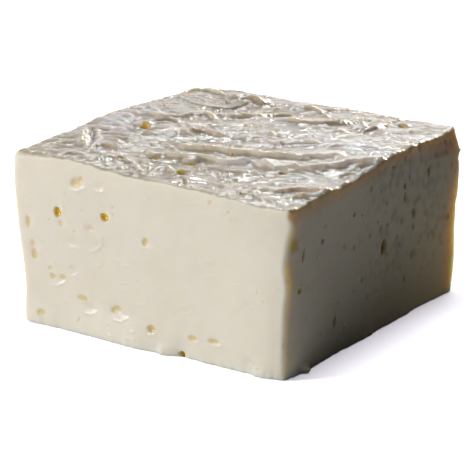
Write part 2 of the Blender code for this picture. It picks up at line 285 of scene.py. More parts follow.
# Fine raised folds of the skin: points (u, v), height, width.
FOLDS = (
    (((-30.8, 13.9), (-29.5, 13.0), (-28.2, 11.7)), 0.25, 0.50),
    (((-29.0, 17.7), (-27.7, 16.2), (-26.3, 12.8)), 0.35, 0.75),
    (((-27.6, 21.0), (-26.0, 18.7)), 0.30, 0.70),
    (((-31.2, 11.5), (-29.3, 8.8), (-27.2, 4.6), (-24.4, 1.0)), 0.34, 0.48),
    (((-36.7, 8.3), (-33.7, 7.5), (-30.7, 5.7), (-27.4, 3.4)), 0.22, 0.50),
    (((-31.7, 2.5), (-29.5, 1.0), (-26.7, -1.8)), 0.28, 0.50),
    (((-31.8, -1.1), (-29.3, -2.0), (-27.1, -3.3)), 0.22, 0.45),
    (((-32.0, -2.2), (-30.4, -4.3), (-28.4, -6.1)), 0.32, 0.50),
    (((-31.0, -8.1), (-29.7, -9.2), (-28.7, -10.5)), 0.30, 0.50),
    (((-29.0, -10.0), (-26.4, -10.2)), 0.25, 0.50),
    (((-26.9, -3.3), (-26.5, -7.5)), 0.28, 0.60),
    (((-26.2, -2.8), (-24.7, -2.2)), 0.20, 0.50),
    (((-31.3, 3.7), (-29.1, 2.9), (-26.8, 1.3)), 0.20, 0.40),
    (((-39.8, 7.0), (-38.6, 7.4), (-37.4, 6.5)), 0.35, 0.85),
    (((-39.5, 2.4), (-38.3, 3.0), (-37.1, 2.8)), 0.35, 0.85),
    (((-39.2, -0.7), (-38.1, -0.4), (-36.8, -1.7)), 0.35, 0.85),
    (((-38.7, -4.5), (-36.9, -4.8)), 0.25, 0.70),
    (((-37.2, -5.2), (-36.7, -10.4)), 0.40, 0.60),
    (((-35.7, 6.5), (-34.8, 3.2), (-34.7, 0.5), (-34.1, -2.9), (-34.7, -5.9), (-35.3, -8.8)), 0.42, 0.65),
    (((-37.5, -10.6), (-35.8, -11.6), (-34.3, -13.4)), 0.22, 0.45),
    (((-36.7, -18.3), (-36.3, -17.1)), 0.20, 0.50),
    (((-29.3, -18.6), (-28.3, -16.7), (-27.0, -17.7)), 0.24, 0.42),
    (((-25.5, -19.8), (-24.4, -23.1), (-23.4, -25.9), (-22.7, -28.1)), 0.38, 0.50),
    (((-24.4, -23.9), (-24.0, -27.3)), 0.26, 0.38),
    (((-22.3, -16.3), (-20.6, -18.1), (-18.2, -20.1)), 0.22, 0.45),
    (((-19.2, -18.6), (-17.2, -24.5), (-15.6, -28.8)), 0.30, 0.50),
    (((-13.4, -30.1), (-12.6, -32.6), (-11.7, -36.7)), 0.30, 0.45),
    (((-6.4, -33.8), (-5.3, -36.6), (-3.4, -36.9), (-1.8, -34.8), (-0.8, -31.9)), 0.26, 0.38),
    (((-0.9, -25.4), (0.1, -26.5), (0.5, -27.7)), 0.26, 0.42),
    (((-11.2, -20.6), (-10.2, -23.1), (-9.5, -23.9)), 0.26, 0.50),
    (((-1.4, -38.8), (1.8, -39.3), (4.5, -39.7), (7.5, -36.3)), 0.20, 0.42),
    (((2.2, -41.0), (3.6, -41.4), (5.1, -44.4)), 0.28, 0.45),
    (((3.1, -44.5), (4.9, -47.3)), 0.25, 0.45),
    (((-8.2, -17.2), (-6.8, -18.3), (-5.8, -19.0), (-4.7, -14.6)), 0.24, 0.42),
    (((3.0, -20.9), (4.0, -23.2), (5.1, -24.6)), 0.32, 0.50),
    (((11.0, -21.9), (12.7, -25.0), (14.3, -26.4)), 0.30, 0.48),
    (((15.0, -18.7), (16.4, -18.9)), 0.20, 0.45),
    (((10.3, -45.4), (11.9, -43.8), (13.4, -43.5), (15.0, -43.8)), 0.38, 0.55),
    (((5.8, -40.3), (8.1, -37.6), (10.8, -39.5)), 0.20, 0.45),
    (((4.5, -43.4), (7.4, -43.5), (10.1, -44.7)), 0.24, 0.45),
    (((8.5, -42.5), (10.1, -44.3), (11.4, -46.2)), 0.24, 0.45),
    (((16.7, 27.2), (18.5, 25.9), (20.2, 23.5), (21.3, 19.1)), 0.34, 0.50),
    (((21.0, 20.4), (21.9, 17.3), (23.4, 17.2)), 0.35, 0.80),
    (((13.6, 20.4), (15.4, 15.8), (16.8, 13.1)), 0.30, 0.55),
    (((6.8, 0.8), (7.5, -0.2), (8.2, -1.7)), 0.38, 0.65),
    (((8.1, -8.5), (9.3, -7.0), (10.6, -2.7)), 0.22, 0.50),
    (((8.8, 3.9), (9.7, 1.8)), 0.28, 0.60),
    (((-22.0, 24.4), (-20.8, 18.8), (-19.6, 11.9)), 0.42, 0.90),
    (((-23.0, 25.7), (-22.0, 24.4)), 0.25, 0.60),
    (((-7.9, 16.2), (-7.1, 14.2), (-6.7, 12.4)), 0.30, 0.45),
    (((-16.1, 9.7), (-15.1, 8.1), (-14.3, 5.9)), 0.28, 0.50),
    (((-17.9, -8.0), (-16.2, -9.2), (-14.3, -15.8)), 0.30, 0.50),
    (((-13.5, 1.1), (-12.3, -0.0), (-11.1, -0.9)), 0.24, 0.42),
    (((-11.7, 39.2), (-9.9, 35.5), (-9.0, 31.6)), 0.26, 0.50),
    (((-4.5, 37.8), (-3.7, 34.2), (-3.2, 31.8)), 0.26, 0.50),
    (((1.9, -14.4), (4.7, -15.6), (7.8, -16.1), (9.6, -17.1)), 0.22, 0.45),
    (((-0.5, -21.0), (1.9, -16.5), (3.5, -19.3)), 0.22, 0.50),
    (((-2.4, -7.3), (0.7, -8.5), (4.3, -11.4)), 0.20, 0.42),
    (((6.9, 9.5), (9.6, 8.1), (11.8, 9.0)), 0.26, 0.60),
    (((4.8, -3.9), (7.9, -7.0), (10.3, -5.9)), 0.22, 0.50),
    (((13.9, -6.7), (17.7, -6.9), (22.4, -8.7)), 0.24, 0.55),
    (((19.3, -0.8), (21.9, -3.9), (24.7, -4.8)), 0.22, 0.50),
    (((23.3, -11.0), (26.2, -9.8), (29.0, -11.1)), 0.20, 0.50),
    (((29.3, 15.1), (30.2, 12.8), (30.6, 7.2)), 0.28, 0.50),
    (((32.3, 7.0), (34.6, 12.2), (37.0, 12.2)), 0.22, 0.45),
    (((30.3, -12.3), (32.6, -13.9), (34.9, -15.4)), 0.16, 0.45),
    (((10.2, -27.5), (12.7, -26.6), (14.3, -27.3)), 0.22, 0.50),
    (((17.1, -26.7), (19.5, -25.9), (22.0, -26.0)), 0.22, 0.50),
    (((24.0, -27.1), (25.7, -27.1), (26.5, -28.0)), 0.22, 0.45),
    (((12.4, -32.3), (14.4, -34.0), (16.9, -33.2)), 0.20, 0.50),
    (((-45.5, -11.6), (-44.4, -10.8)), 0.18, 0.50),
    (((-43.7, -2.9), (-41.8, -3.0), (-39.6, -3.1)), 0.18, 0.50),
    (((-42.5, -6.8), (-40.4, -6.6)), 0.18, 0.50),
    (((-31.0, 17.4), (-29.4, 15.1), (-27.9, 12.5)), 0.28, 0.85),
    (((-30.0, 19.6), (-27.3, 16.1)), 0.28, 0.85),
    (((-26.9, 22.0), (-25.3, 17.7)), 0.28, 0.85),
    (((-31.0, 11.9), (-28.8, 9.9)), 0.26, 0.80),
    (((-31.8, 6.1), (-30.4, 6.7), (-28.9, 3.9)), 0.28, 0.85),
    (((-30.9, 1.9), (-27.7, 0.4), (-26.6, -2.3)), 0.26, 0.80),
    (((-30.9, -4.6), (-28.5, -5.3)), 0.28, 0.85),
    (((-28.4, -7.8), (-26.3, -8.0)), 0.26, 0.80),
    (((-31.4, -9.0), (-28.9, -10.8)), 0.26, 0.80),
    (((2.3, -3.8), (5.7, -5.9), (9.2, -3.8)), 0.26, 0.85),
    (((6.5, 1.3), (7.8, -0.2)), 0.26, 0.80),
    (((10.8, -5.3), (13.3, -3.0)), 0.26, 0.85),
    (((3.5, -23.5), (4.9, -23.6)), 0.24, 0.75),
    (((2.5, -24.8), (4.1, -30.1)), 0.24, 0.75),
    (((-5.1, -27.6), (-3.1, -28.7)), 0.24, 0.75),
)
# Beads and hollows of the skin: u, v, half width, half length, height, tilt.
BEADS = (
    (-35.0, 4.8, 0.80, 1.00, 0.40, 0),
    (-35.4, -9.2, 0.80, 1.00, 0.38, 0),
    (-32.5, -16.9, 0.60, 0.75, 0.30, 0),
    (-31.5, -17.4, 0.60, 0.75, 0.30, 0),
    (-31.5, -20.7, 0.70, 0.88, 0.30, 0),
    (-33.3, -18.9, 0.50, 0.62, 0.25, 0),
    (-22.7, -18.3, 0.95, 1.19, 0.32, 0),
    (-15.6, -29.2, 0.60, 0.75, 0.35, 0),
    (-4.8, -30.6, 0.60, 0.75, 0.32, 0),
    (-2.9, -29.0, 0.50, 0.62, 0.28, 0),
    (-5.2, -28.2, 0.40, 0.50, 0.25, 0),
    (0.2, -28.5, 0.60, 0.75, 0.30, 0),
    (-6.8, -39.0, 0.50, 0.62, 0.25, 0),
    (1.5, -42.6, 0.50, 0.62, 0.25, 0),
    (13.6, -18.2, 0.60, 0.75, 0.30, 0),
    (11.6, -12.5, 0.60, 0.75, 0.35, 0),
    (-11.8, 1.9, 0.60, 0.75, 0.30, 0),
    (-9.2, 6.6, 0.60, 0.75, 0.30, 0),
    (-5.8, 0.7, 0.65, 0.81, 0.35, 0),
    (-3.8, 1.3, 0.55, 0.69, 0.30, 0),
    (1.2, -3.0, 0.60, 0.75, 0.30, 0),
    (4.4, -4.5, 0.60, 0.75, 0.30, 0),
    (1.5, 7.8, 0.60, 0.75, 0.28, 0),
    (-10.3, -4.1, 0.50, 0.62, 0.28, 0),
    (-3.3, -7.8, 0.50, 0.62, 0.25, 0),
    (-17.1, -8.0, 0.60, 0.75, 0.30, 0),
    (-21.2, -6.5, 0.60, 0.75, 0.30, 0),
    (-10.9, 22.8, 0.60, 0.75, 0.35, 0),
    (-19.1, 27.6, 0.50, 0.62, 0.30, 0),
    (-15.8, 39.5, 0.55, 0.69, 0.28, 0),
    (-2.6, 15.0, 0.60, 0.75, 0.30, 0),
    (1.6, 24.9, 0.60, 0.75, 0.30, 0),
    (-6.9, 23.8, 0.50, 0.62, 0.28, 0),
    (6.6, 39.9, 0.45, 0.56, 0.25, 0),
    (5.9, -39.6, 0.50, 0.62, 0.28, 0),
    (-49.8, -11.1, 0.45, 0.56, 0.25, 0),
    (-48.6, -10.3, 0.40, 0.50, 0.25, 0),
    (-46.9, -12.6, 0.40, 0.50, 0.22, 0),
    (-39.2, -18.3, 0.45, 0.56, 0.25, 0),
    (-24.5, -2.2, 0.50, 0.62, 0.25, 0),
    (0.9, 31.6, 0.50, 0.62, 0.30, 0),
    (1.9, 34.6, 0.50, 0.62, 0.25, 0),
    (13.4, -43.5, 0.50, 0.62, 0.30, 0),
    (17.8, -41.9, 0.50, 0.62, 0.30, 0),
    (-35.6, -1.6, 0.75, 3.52, -0.45, 0),
    (-32.8, -8.7, 1.49, 1.96, -0.45, 0),
    (-25.8, 6.6, 1.49, 1.56, -0.30, 0),
    (-3.5, -31.3, 2.73, 4.30, -0.25, 0),
    (-27.9, -18.9, 0.99, 1.17, -0.25, 0),
    (12.5, -2.9, 1.74, 1.37, -0.28, 0),
    (45.8, 1.8, 1.24, 0.98, -0.25, 0),
    (45.1, 14.5, 0.62, 0.78, -0.20, 0),
    (46.3, 10.9, 0.50, 0.78, -0.20, 0),
    (16.4, -11.1, 1.74, 1.17, -0.28, 0),
    (-0.4, 24.3, 9.20, 5.87, -0.85, 0),
    (29.7, 3.1, 4.97, 3.91, -0.70, 0),
    (10.6, 20.9, 6.46, 3.52, -0.50, 0),
    (23.8, -28.0, 0.99, 0.98, -0.25, 0),
    (-8.2, -37.1, 1.24, 1.96, -0.22, 0),
    (-13.5, -33.8, 1.12, 2.35, -0.20, 0),
    (-40.6, -14.3, 1.99, 1.56, -0.25, 0),
    (-13.5, 24.8, 1.49, 1.56, -0.25, 0),
)
# Shallow dents of the front side: x, z, half width, half height, height, tilt.
DENTS = (
    (-17.1, 7.2, 2.55, 1.57, -0.36, -20),
    (-8.7, 7.9, 3.00, 1.57, -0.36, -15),
    (-26.5, 12.2, 2.70, 1.05, -0.22, 0),
    (-22.1, 15.3, 1.80, 1.31, -0.20, 0),
    (-25.3, 26.3, 1.20, 1.31, -0.14, 0),
    (-16.3, 26.7, 1.80, 1.18, -0.16, 0),
    (-13.6, 37.6, 1.80, 0.92, -0.20, 20),
    (-12.9, 23.4, 2.25, 1.44, -0.18, 0),
    (14.5, 5.8, 1.95, 1.18, -0.20, 0),
    (19.6, 6.2, 2.25, 1.05, -0.22, 0),
    (28.2, 17.1, 1.50, 1.31, -0.16, 0),
    (28.9, 3.0, 1.50, 1.05, -0.18, 0),
    (-21.5, 22.0, 1.80, 1.05, -0.18, 0),
    (-34.1, 19.1, 1.50, 2.10, -0.20, 0),
    (-34.7, 25.6, 1.20, 1.57, -0.16, 0),
    (-19.4, 37.3, 2.10, 1.44, -0.22, 0),
    (0.5, 4.6, 1.80, 1.05, -0.18, 0),
    (10.7, 12.2, 3.59, 1.57, -0.10, 0),
    (-6.8, 14.6, 2.70, 2.10, -0.08, 0),
    (25.5, 15.3, 1.80, 1.05, -0.08, 0),
    (-0.1, 26.8, 1.35, 1.18, -0.16, 0),
    (-25.7, 29.2, 1.50, 1.31, -0.10, 0),
    (-11.8, 30.5, 1.65, 1.31, -0.10, 0),
)
# Raised lips and smears of the front side: points (x, z), height, width.
LIPS = (
    (((-21.6, 34.9), (-19.5, 35.0), (-17.4, 36.3)), 0.13, 0.38),
    (((-15.1, 36.6), (-13.9, 36.2), (-12.4, 36.7)), 0.14, 0.36),
    (((-29.3, 10.8), (-27.4, 10.8), (-25.1, 12.3)), 0.15, 0.40),
    (((-24.5, 16.0), (-22.8, 16.4)), 0.13, 0.45),
    (((-22.8, 13.6), (-21.2, 14.8)), 0.12, 0.40),
    (((-19.8, 5.6), (-17.7, 5.5), (-15.7, 6.7)), 0.16, 0.45),
    (((-11.2, 5.8), (-8.8, 5.7), (-6.4, 7.0)), 0.16, 0.40),
    (((-17.1, 20.9), (-15.0, 21.8), (-13.6, 23.5)), 0.13, 0.38),
    (((-23.4, 21.2), (-22.2, 20.7), (-21.0, 21.1)), 0.12, 0.40),
    (((-1.0, 4.2), (0.8, 4.1), (2.2, 5.6)), 0.15, 0.38),
    (((13.1, 4.5), (14.5, 5.2)), 0.13, 0.40),
    (((17.6, 4.9), (19.5, 5.1), (21.2, 6.0)), 0.14, 0.38),
    (((27.4, 16.0), (29.1, 16.9)), 0.10, 0.40),
    (((28.1, 1.9), (29.5, 3.0)), 0.12, 0.45),
    (((-11.0, 32.0), (-10.2, 31.1), (-11.1, 29.7)), 0.14, 0.36),
    (((-25.0, 31.2), (-24.2, 30.2), (-24.4, 28.7)), 0.14, 0.36),
    (((-2.1, 25.2), (-0.7, 25.2)), 0.10, 0.36),
    (((-32.9, 17.3), (-32.3, 18.4)), 0.08, 0.40),
    (((-8.8, 14.9), (-5.9, 15.8)), 0.10, 0.32),
    (((-8.6, 13.4), (-5.3, 13.8)), 0.10, 0.32),
    (((8.7, 12.7), (12.1, 13.6)), 0.09, 0.32),
    (((9.2, 10.9), (12.6, 11.9)), 0.09, 0.32),
    (((3.0, 45.4), (6.7, 45.6)), 0.09, 0.32),
    (((-5.4, 3.8), (-4.5, 4.0)), 0.12, 0.40),
    (((23.6, 21.0), (25.6, 21.6)), 0.09, 0.32),
    (((16.0, 25.3), (18.5, 25.5)), 0.08, 0.32),
    (((10.9, 38.1), (14.8, 39.0), (18.7, 39.2)), 0.07, 0.32),
    (((-8.4, 19.0), (-5.1, 20.2)), 0.08, 0.30),
    (((15.6, 21.3), (18.4, 22.2)), 0.08, 0.30),
    (((0.2, 15.3), (4.0, 16.3)), 0.07, 0.30),
    (((6.1, 23.3), (9.2, 24.1)), 0.07, 0.30),
    (((20.7, 26.2), (23.7, 26.5)), 0.06, 0.30),
    (((-4.0, 10.4), (-1.1, 11.5)), 0.08, 0.32),
    (((6.1, 8.5), (8.9, 9.5), (11.5, 9.6)), 0.08, 0.34),
    (((21.6, 11.8), (24.4, 12.6)), 0.07, 0.30),
    (((-16.1, 17.5), (-14.0, 18.4)), 0.10, 0.34),
    (((-19.3, 9.8), (-17.6, 9.4)), 0.10, 0.36),
    (((26.7, 5.5), (28.4, 5.4), (29.8, 6.4)), 0.10, 0.36),
    (((-12.8, 1.7), (-11.0, 1.6)), 0.10, 0.36),
    (((-6.6, 2.0), (-4.2, 2.2)), 0.09, 0.36),
    (((-28.7, 16.5), (-27.8, 15.7)), 0.08, 0.34),
    (((-19.0, 27.0), (-18.1, 25.9)), 0.09, 0.34),
    (((-12.8, 26.1), (-13.8, 24.2), (-12.9, 22.9)), 0.08, 0.34),
    (((26.8, 38.8), (29.0, 37.8)), 0.07, 0.34),
    (((22.5, 37.6), (23.3, 36.3)), 0.07, 0.34),
    (((13.7, 35.9), (16.5, 36.7)), 0.06, 0.30),
    (((-26.7, 7.2), (-24.9, 7.1)), 0.09, 0.34),
    (((-32.8, 7.0), (-31.9, 5.9)), 0.08, 0.34),
    (((31.4, 9.5), (32.8, 8.8)), 0.08, 0.34),
)
# Top eyes: u, v, width, length, depth, amber, olive.
TOP_EYES = (
    (-23.4, 5.0, 2.3, 2.3, 1.00, 0.82, 0.00),
    (-20.5, -16.4, 3.2, 2.4, 0.70, 0.75, 0.25),
    (-11.8, -20.9, 3.0, 2.4, 0.60, 0.85, 0.85),
    (-13.9, -27.9, 2.5, 1.6, 0.70, 0.80, 0.20),
    (-28.1, -17.9, 1.9, 1.4, 0.35, 0.25, 0.30),
    (-3.2, -14.6, 0.8, 0.9, 0.50, 0.70, 0.00),
    (-2.1, -14.9, 0.8, 0.9, 0.50, 0.70, 0.00),
    (9.5, -28.0, 1.9, 1.7, 0.80, 0.80, 0.60),
    (13.6, -18.0, 0.8, 0.8, 0.40, 0.50, 0.00),
    (0.4, -42.2, 2.7, 1.0, 0.35, 0.60, 0.00),
    (40.4, 10.9, 2.5, 1.8, 0.60, 0.55, 0.60),
    (14.8, -45.2, 1.8, 1.5, 0.60, 0.60, 0.60),
)
# Warm, clearer places of the skin: u, v, half width, half length, amount.
WARM = (
    (-49.1, -10.7, 2.0, 1.6, 0.80),
    (1.8, -38.7, 3.0, 1.6, 0.55),
    (14.2, -39.9, 5.0, 2.0, 0.60),
    (0.4, -42.2, 1.5, 1.2, 0.80),
    (-32.8, -8.7, 1.5, 1.6, 0.50),
    (-25.8, 6.6, 1.6, 1.6, 0.60),
    (-21.9, 13.1, 1.5, 1.6, 0.60),
    (-35.7, -0.8, 0.7, 3.1, 0.40),
    (14.7, -45.9, 2.5, 1.6, 0.40),
    (-13.5, -33.8, 1.1, 2.0, 0.35),
)
# Patches of painted sheen on the skin, paler and bluish-white to stand for highlights and reflected glare: u, v, half
# width, half length, amount.
SHEEN_PATCHES = (
    (-30.0, 11.7, 5.5, 10.9, 1.00),
    (-35.2, -4.6, 4.2, 5.5, 0.45),
    (24.5, -9.1, 11.9, 13.3, 0.85),
    (-0.4, 1.0, 6.2, 3.5, 0.60),
    (10.3, -5.0, 7.0, 3.5, 0.85),
    (-0.5, -20.8, 5.5, 2.7, 0.90),
    (17.3, -34.0, 7.0, 4.7, 0.60),
    (39.6, 3.1, 7.5, 6.3, 0.60),
    (4.6, -23.5, 8.7, 2.7, 0.40),
)
# Patches of painted shade on the skin, darker to stand for shade on the rolls: u, v, half width, half length, amount.
SHADE_PATCHES = (
    (-0.4, 31.6, 8.9, 4.7, 1.00),
    (10.4, 25.1, 7.5, 3.1, 0.80),
    (29.4, 7.3, 4.5, 3.5, 0.95),
    (-9.4, 41.1, 6.2, 3.1, 0.25),
    (23.3, 20.1, 5.0, 3.1, 0.30),
    (-22.1, -3.5, 5.5, 3.9, 0.45),
    (-9.8, -24.8, 4.5, 3.5, 0.50),
    (-13.2, 35.5, 5.5, 3.1, 0.80),
    (8.7, -34.7, 5.0, 3.1, 0.35),
    (-20.1, 12.4, 3.7, 3.9, 0.25),
    (-10.1, 2.0, 3.7, 2.3, 0.60),
    (19.1, 7.9, 6.2, 3.1, 0.60),
    (-0.5, -32.3, 5.0, 3.1, 0.40),
)
# Eyes. Front: x, z, width, height, depth, amber, olive, tilt in degrees.
FRONT_EYES = (
    (-25.9, 28.8, 2.1, 2.9, 0.72, 1.00, 0.05, 8),
    (-12.2, 30.4, 2.4, 2.1, 0.72, 1.00, 0.05, 0),
    (-20.3, 36.6, 2.9, 3.0, 0.22, 0.42, 0.30, 20),
    (-18.9, 37.7, 1.5, 2.1, 0.22, 0.55, 0.20, -25),
    (-34.8, 25.1, 1.6, 3.5, 0.18, 0.41, 0.30, 0),
    (-34.3, 20.1, 1.5, 2.2, 0.14, 0.36, 0.30, 0),
    (-34.1, 17.4, 2.1, 3.0, 0.20, 0.45, 0.30, 0),
    (-29.7, 14.7, 1.8, 1.5, 0.16, 0.32, 0.40, 0),
    (-29.3, 12.7, 2.2, 1.8, 0.20, 0.41, 0.20, 0),
    (-26.1, 12.9, 2.2, 1.8, 0.20, 0.41, 0.20, 0),
    (-20.3, 8.9, 3.5, 1.8, 0.20, 0.45, 0.10, 0),
    (-10.3, 8.1, 3.3, 2.0, 0.22, 0.50, 0.30, 25),
    (-33.0, 3.0, 2.9, 2.2, 0.22, 0.50, 0.70, 0),
    (0.5, 5.6, 2.5, 2.1, 0.45, 0.66, 0.15, 0),
    (-21.3, 3.4, 1.2, 1.6, 0.15, 0.25, 0.30, 0),
    (-16.4, 26.8, 2.2, 1.7, 0.10, 0.22, 0.10, 30),
    (-21.2, 24.8, 1.1, 1.0, 0.12, 0.25, 0.80, 0),
    (-0.9, 26.6, 1.8, 2.6, 0.20, 0.45, 0.40, -10),
    (-23.4, 33.6, 0.6, 0.5, 0.12, 0.30, 0.80, 0),
    (-13.6, 36.9, 1.8, 0.6, 0.12, 0.12, 0.20, -35),
    (0.7, 37.6, 0.6, 0.5, 0.12, 0.25, 0.80, 0),
    (-9.8, 33.4, 0.9, 0.7, 0.12, 0.41, 0.90, 0),
    (-9.5, 31.7, 0.7, 0.7, 0.10, 0.32, 0.90, 0),
    (-9.7, 29.8, 0.6, 0.6, 0.10, 0.30, 0.90, 0),
    (-18.8, 30.2, 1.2, 1.0, 0.10, 0.15, 0.50, 0),
    (-28.5, 26.8, 0.9, 0.8, 0.12, 0.30, 0.90, 0),
    (-25.1, 26.1, 1.4, 2.1, 0.15, 0.30, 0.20, 15),
    (-13.0, 19.0, 0.6, 0.5, 0.10, 0.20, 0.60, 0),
    (-8.1, 23.2, 0.6, 0.5, 0.10, 0.22, 0.60, 0),
    (-9.3, 21.2, 0.6, 0.5, 0.10, 0.22, 0.60, 0),
    (-3.5, 16.6, 0.7, 0.6, 0.11, 0.22, 0.60, 0),
    (-12.3, 3.8, 0.7, 0.6, 0.10, 0.20, 0.60, 0),
    (12.0, 5.6, 2.7, 1.8, 0.24, 0.50, 0.20, 0),
    (18.1, 6.0, 3.5, 1.5, 0.24, 0.54, 0.20, 0),
    (8.8, 0.8, 1.9, 1.5, 1.40, 0.95, 0.40, 0),
    (17.6, 39.7, 1.3, 1.8, 0.12, 0.36, 0.30, 0),
    (22.7, 38.4, 0.9, 0.7, 0.15, 0.30, 0.60, 40),
    (24.6, 36.9, 0.8, 0.7, 0.10, 0.20, 0.50, 0),
    (30.4, 20.9, 0.8, 1.1, 0.10, 0.30, 0.30, 0),
    (32.2, 18.9, 0.8, 1.1, 0.10, 0.30, 0.30, 0),
    (30.4, 1.7, 1.1, 1.1, 0.14, 0.36, 0.90, 0),
    (17.6, 18.3, 0.9, 0.7, 0.07, 0.15, 0.40, 0),
    (2.1, 12.8, 0.9, 0.8, 0.07, 0.15, 0.40, 0),
)
# Side with the slits: y, z, width, height, depth, amber, olive, tilt.
SIDE_EYES = (
    (-26.7, 38.0, 0.6, 1.0, 0.56, 0.35, 0.30, 0),
    (-10.7, 33.3, 1.2, 1.2, 0.79, 0.49, 0.40, 0),
    (-7.0, 32.0, 1.2, 1.1, 0.45, 0.35, 0.70, 0),
    (-5.3, 31.3, 0.9, 0.9, 0.34, 0.32, 0.80, 0),
    (-23.6, 34.2, 0.8, 1.2, 0.45, 0.28, 0.30, -10),
    (-24.2, 30.8, 1.4, 1.7, 1.25, 0.66, 0.30, -28),
    (-32.1, 29.8, 1.0, 4.2, 1.12, 0.66, 0.20, -12),
    (-26.3, 27.2, 0.8, 1.0, 0.40, 0.28, 0.30, 0),
    (-14.4, 26.6, 1.8, 1.7, 0.34, 0.30, 0.80, 0),
    (-10.2, 25.1, 1.7, 2.0, 0.45, 0.34, 0.00, -5),
    (-8.0, 25.8, 0.7, 1.1, 0.56, 0.35, 0.40, 0),
    (-6.0, 15.9, 1.3, 2.3, 0.56, 0.40, 0.10, -10),
    (-9.8, 14.1, 1.9, 1.8, 0.28, 0.28, 0.90, 0),
    (-3.0, 10.2, 1.5, 2.3, 0.34, 0.35, 0.80, 0),
    (-5.5, 8.9, 1.1, 1.3, 0.34, 0.32, 0.50, 0),
    (-15.8, 12.9, 1.6, 1.1, 0.28, 0.28, 0.40, 0),
    (-19.0, 13.6, 1.2, 1.3, 0.28, 0.28, 0.50, 0),
    (-17.0, 8.6, 2.0, 3.4, 1.38, 0.66, 0.50, -5),
    (-12.2, 5.4, 1.2, 0.8, 0.68, 0.47, 0.40, 0),
    (-23.1, 7.3, 1.2, 1.0, 0.56, 0.44, 0.70, 0),
    (-33.5, 21.3, 2.2, 1.6, 0.50, 0.80, 0.45, 0),
    (-32.7, 22.6, 0.7, 1.2, 0.23, 0.40, 0.50, -20),
    (-36.1, 33.0, 4.6, 5.0, 0.05, 0.30, 0.00, -6),
    (-36.3, 33.1, 3.1, 3.6, 0.06, 0.74, 0.00, -6),
    (0.2, 28.0, 0.9, 1.0, 0.68, 0.44, 0.40, 0),
    (1.9, 25.7, 1.7, 2.2, 0.50, 0.49, 0.90, -5),
    (3.7, 20.8, 3.2, 4.1, 1.50, 0.78, 0.00, -14),
    (5.3, 18.2, 2.0, 1.7, 0.34, 0.47, 0.00, 0),
    (-3.2, 25.7, 1.3, 1.0, 0.28, 0.32, 0.70, 0),
    (0.3, 18.1, 1.3, 1.3, 0.28, 0.28, 0.40, 0),
    (9.6, 21.1, 1.1, 1.4, 0.56, 0.35, 0.20, -8),
    (11.7, 25.1, 1.4, 2.3, 0.40, 0.35, 0.80, -5),
    (17.2, 25.5, 2.2, 2.3, 0.40, 0.40, 0.80, -5),
    (23.7, 24.0, 1.7, 1.6, 0.34, 0.31, 0.30, 0),
    (17.8, 14.9, 2.7, 2.6, 0.40, 0.46, 0.85, 0),
    (11.1, 18.7, 1.3, 2.1, 0.28, 0.32, 0.80, 0),
    (17.3, 21.8, 1.2, 1.3, 0.45, 0.32, 0.30, 0),
    (20.7, 17.2, 1.2, 1.8, 0.50, 0.34, 0.30, -8),
    (26.8, 18.2, 1.3, 1.6, 0.45, 0.34, 0.20, 0),
    (30.4, 14.3, 1.4, 1.6, 0.25, 0.29, 0.60, 0),
    (33.1, 20.4, 2.0, 1.9, 0.38, 0.60, 0.00, 0),
    (12.1, 33.1, 1.5, 1.5, 1.00, 0.64, 0.50, 0),
    (12.5, 30.3, 1.5, 2.7, 1.00, 0.66, 0.50, -3),
    (14.2, 34.5, 0.9, 1.3, 0.68, 0.40, 0.30, -8),
    (23.5, 34.2, 1.0, 5.4, 1.20, 0.80, 0.00, -3),
    (16.6, 29.6, 0.8, 0.7, 0.56, 0.40, 0.30, 0),
    (7.0, 39.1, 1.4, 0.6, 0.56, 0.40, 0.20, 0),
    (5.6, 36.5, 0.9, 0.9, 0.50, 0.35, 0.20, 0),
    (-3.4, 37.3, 1.3, 1.6, 0.68, 0.44, 0.50, -5),
    (1.2, 35.1, 0.9, 1.4, 0.68, 0.44, 0.40, -5),
    (14.1, 9.7, 1.3, 2.4, 0.45, 0.40, 0.00, -5),
    (11.2, 13.2, 1.6, 1.0, 0.34, 0.32, 0.00, 0),
    (22.5, 10.1, 1.3, 1.3, 0.34, 0.32, 0.60, 0),
    (1.6, 10.2, 1.9, 1.2, 0.28, 0.28, 0.00, 0),
    (4.2, 31.4, 0.8, 0.6, 0.45, 0.32, 0.30, 0),
    (5.3, 25.6, 0.9, 0.9, 0.40, 0.28, 0.30, 0),
)


def cross_height(u, v):
    """Short folds that run away from the viewer's side."""
    total = np.zeros_like(u)
    for pts, height, width in CROSSES:
        path = smooth_path([(b, a) for a, b in pts])
        order = np.argsort(path[:, 0])
        pv, pu = path[order, 0], path[order, 1]
        near = (v > pv[0] - 3) & (v < pv[-1] + 3)
        if not near.any():
            continue
        un, vn = u[near], v[near]
        crest = np.interp(vn, pv, pu)
        end = min(2.5, (pv[-1] - pv[0]) / 3)
        fade = ease((vn - pv[0] + end * 0.6) / (1.6 * end)) * ease((pv[-1] + end * 0.6 - vn) / (1.6 * end))
        total[near] += height * fade * np.exp(-(np.abs((un - crest) / width) ** 2))
    return total


